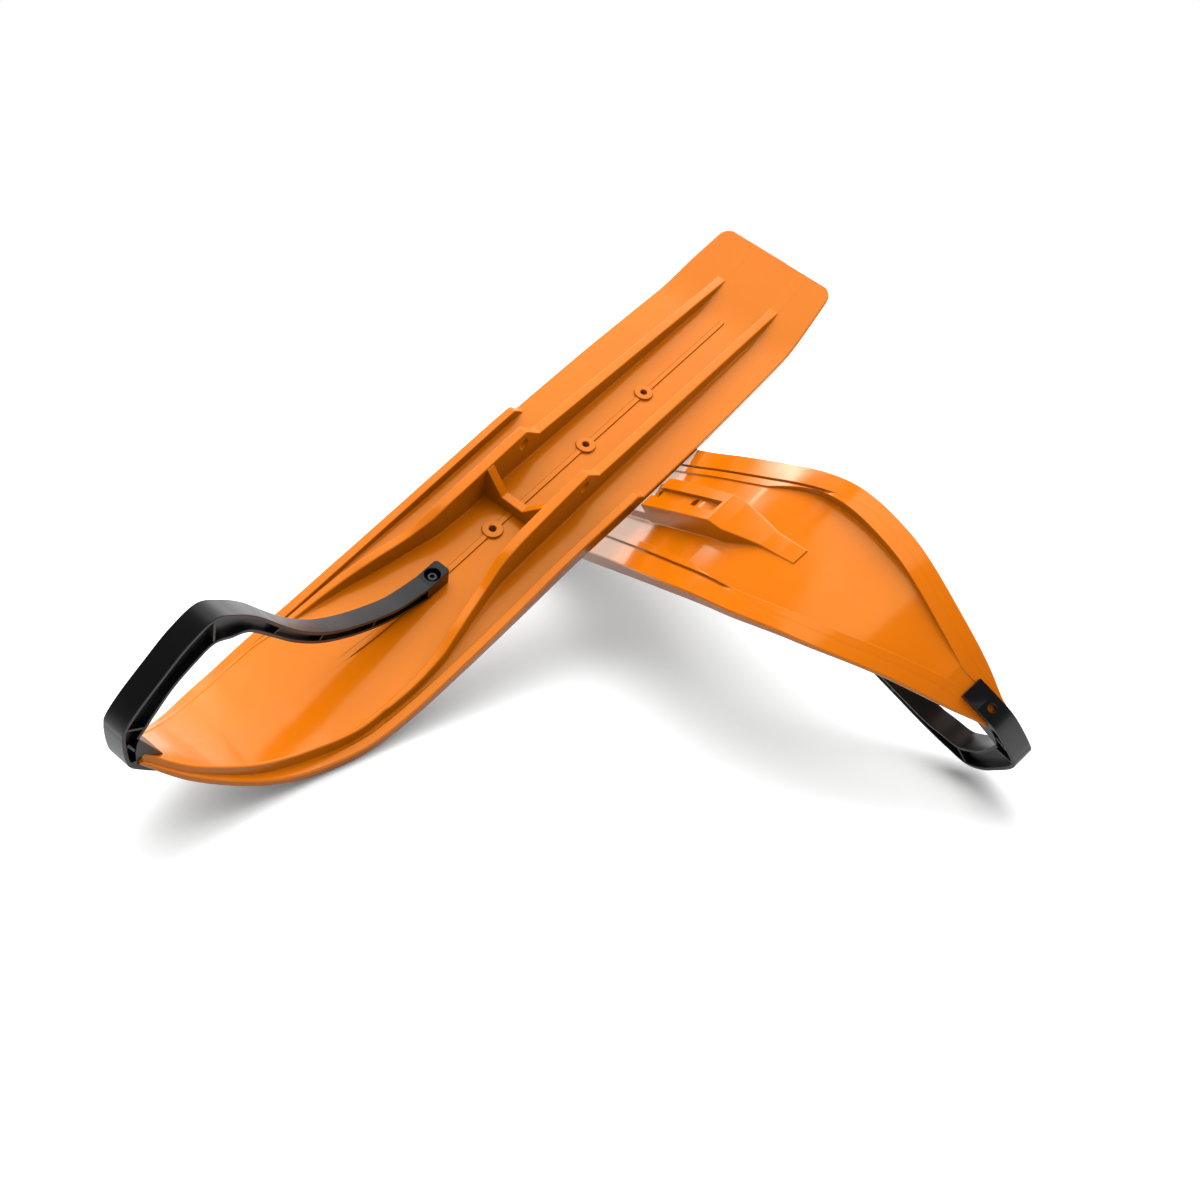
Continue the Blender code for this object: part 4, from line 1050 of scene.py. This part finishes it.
softBoxes = {
    # place, what it faces, size, and how bright its face is whatever the size
    "topBox": ((0.15, 0.03, 2.2), (0.15, 0.03, 0.0), (2.0, 1.95), 1.2),
    "backLeftBox": ((-0.11, 1.75, 1.75), (-0.3, -0.3, 0.1), (0.86, 1.9), 1.6),
    "lowStrip": ((-0.64, 1.95, 1.2), (0.2, 0.1, 0.2), (0.56, 0.17), 3.6),
    "backPanel": ((-1.0, 2.2, 0.5), (0.0, 0.0, 0.2), (1.9, 0.9), 1.1),
    "backRightBox": ((0.79, 1.67, 1.75), (-0.2, -0.3, 0.1), (0.92, 1.9), 1.35),
}


def makeFloor():
    half, height = studio["floorSize"] / 2.0, -studio["floorDrop"]
    shape = bmesh.new()
    corners = ((-half, -half), (half, -half), (half, half), (-half, half))
    shape.faces.new([shape.verts.new((x, y, height)) for x, y in corners])
    floor = makeObject("floor", meshFrom("floor", shape))
    material, tree = newMaterial("paperSweep")
    rays = addNode(tree, "ShaderNodeLightPath").outputs
    given = addNode(tree, "ShaderNodeMapRange", None, {
        "To Min": studio["floorShines"], "To Max": studio["floorGives"]}, {"Value": rays["Is Diffuse Ray"]})
    seen = addNode(tree, "ShaderNodeMapRange", None, {"To Max": studio["floorSeen"]}, {
        "Value": rays["Is Camera Ray"], "To Min": given})
    diffuse = addNode(tree, "ShaderNodeBsdfDiffuse", links={"Color": seen})
    place = addNode(tree, "ShaderNodeTexCoord").outputs["Object"]
    away = addNode(tree, "ShaderNodeVectorMath", {"operation": "LENGTH"}, links={0: place}).outputs["Value"]
    faded = addNode(tree, "ShaderNodeMapRange", {"interpolation_type": "SMOOTHSTEP"}, {
        "From Min": studio["liftStart"], "From Max": studio["liftEnd"], "To Max": studio["liftLevel"]}, {
        "Value": away})
    strength = addNode(tree, "ShaderNodeMath", times, links={0: rays["Is Camera Ray"], 1: faded})
    lift = addNode(tree, "ShaderNodeEmission", None, {"Color": linear("#FFFFFF")}, {"Strength": strength})
    both = addNode(tree, "ShaderNodeAddShader", links={0: diffuse, 1: lift})
    addNode(tree, "ShaderNodeOutputMaterial", links={"Surface": both})
    floor.data.materials.append(material)


def makeWorld():
    world = bpy.data.worlds.new("studioWorld")
    scene.world = world
    world.use_nodes = True
    tree = world.node_tree
    tree.nodes.clear()
    rays = addNode(tree, "ShaderNodeLightPath").outputs
    towards = addNode(tree, "ShaderNodeTexCoord").outputs["Generated"]
    parts = addNode(tree, "ShaderNodeSeparateXYZ", links={"Vector": towards}).outputs
    ramps = {}
    for name, (axis, start, end, least, most) in skyRamps.items():
        ramps[name] = addNode(tree, "ShaderNodeMapRange", {"interpolation_type": "SMOOTHSTEP"}, {
            "From Min": start, "From Max": end, "To Min": least, "To Max": most}, {"Value": parts[axis]})
    both = addNode(tree, "ShaderNodeMath", {"operation": "MINIMUM"}, links={0: ramps["low"], 1: ramps["behind"]})
    shine = addNode(tree, "ShaderNodeMath", times, links={0: rays["Is Glossy Ray"], 1: both})
    seen = addNode(tree, "ShaderNodeMath", larger, links={
        0: rays["Is Camera Ray"], 1: rays["Is Transmission Ray"]})
    bright = addNode(tree, "ShaderNodeMath", larger, links={0: shine, 1: seen})
    lit = addNode(tree, "ShaderNodeMath", larger, links={0: seen, 1: rays["Is Glossy Ray"]})
    around = addNode(tree, "ShaderNodeMath", times, links={0: ramps["dome"], 1: ramps["side"]})
    level = addNode(tree, "ShaderNodeMix", {"data_type": "FLOAT"}, links={0: lit, 2: around, 3: bright})
    sky = addNode(tree, "ShaderNodeBackground", None, {"Color": linear("#FFFFFF")}, {"Strength": level})
    addNode(tree, "ShaderNodeOutputWorld", links={"Surface": sky})


def hangSoftBoxes():
    for name, (place, target, size, level) in softBoxes.items():
        light = bpy.data.lights.new(name, "AREA")
        light.shape = "RECTANGLE"
        light.size, light.size_y = size
        light.energy = level * math.pi * size[0] * size[1]
        item = makeObject(name, light)
        item.location = place
        item.rotation_euler = (Vector(target) - Vector(place)).to_track_quat("-Z", "Y").to_euler()
        item.visible_camera = False


def makeCamera():
    lens = bpy.data.cameras.new("camera")
    lens.sensor_width = 36.0
    lens.lens = lens.sensor_width * studio["focal"] / 1200.0
    item = makeObject("camera", lens)
    item.location = studio["cameraPlace"]
    item.rotation_euler = (math.radians(90.0 - studio["lookDown"]), 0.0, 0.0)
    scene.camera = item


makeFloor()
makeWorld()
hangSoftBoxes()
makeCamera()
scene.view_settings.view_transform = "Standard"
print("studio set")
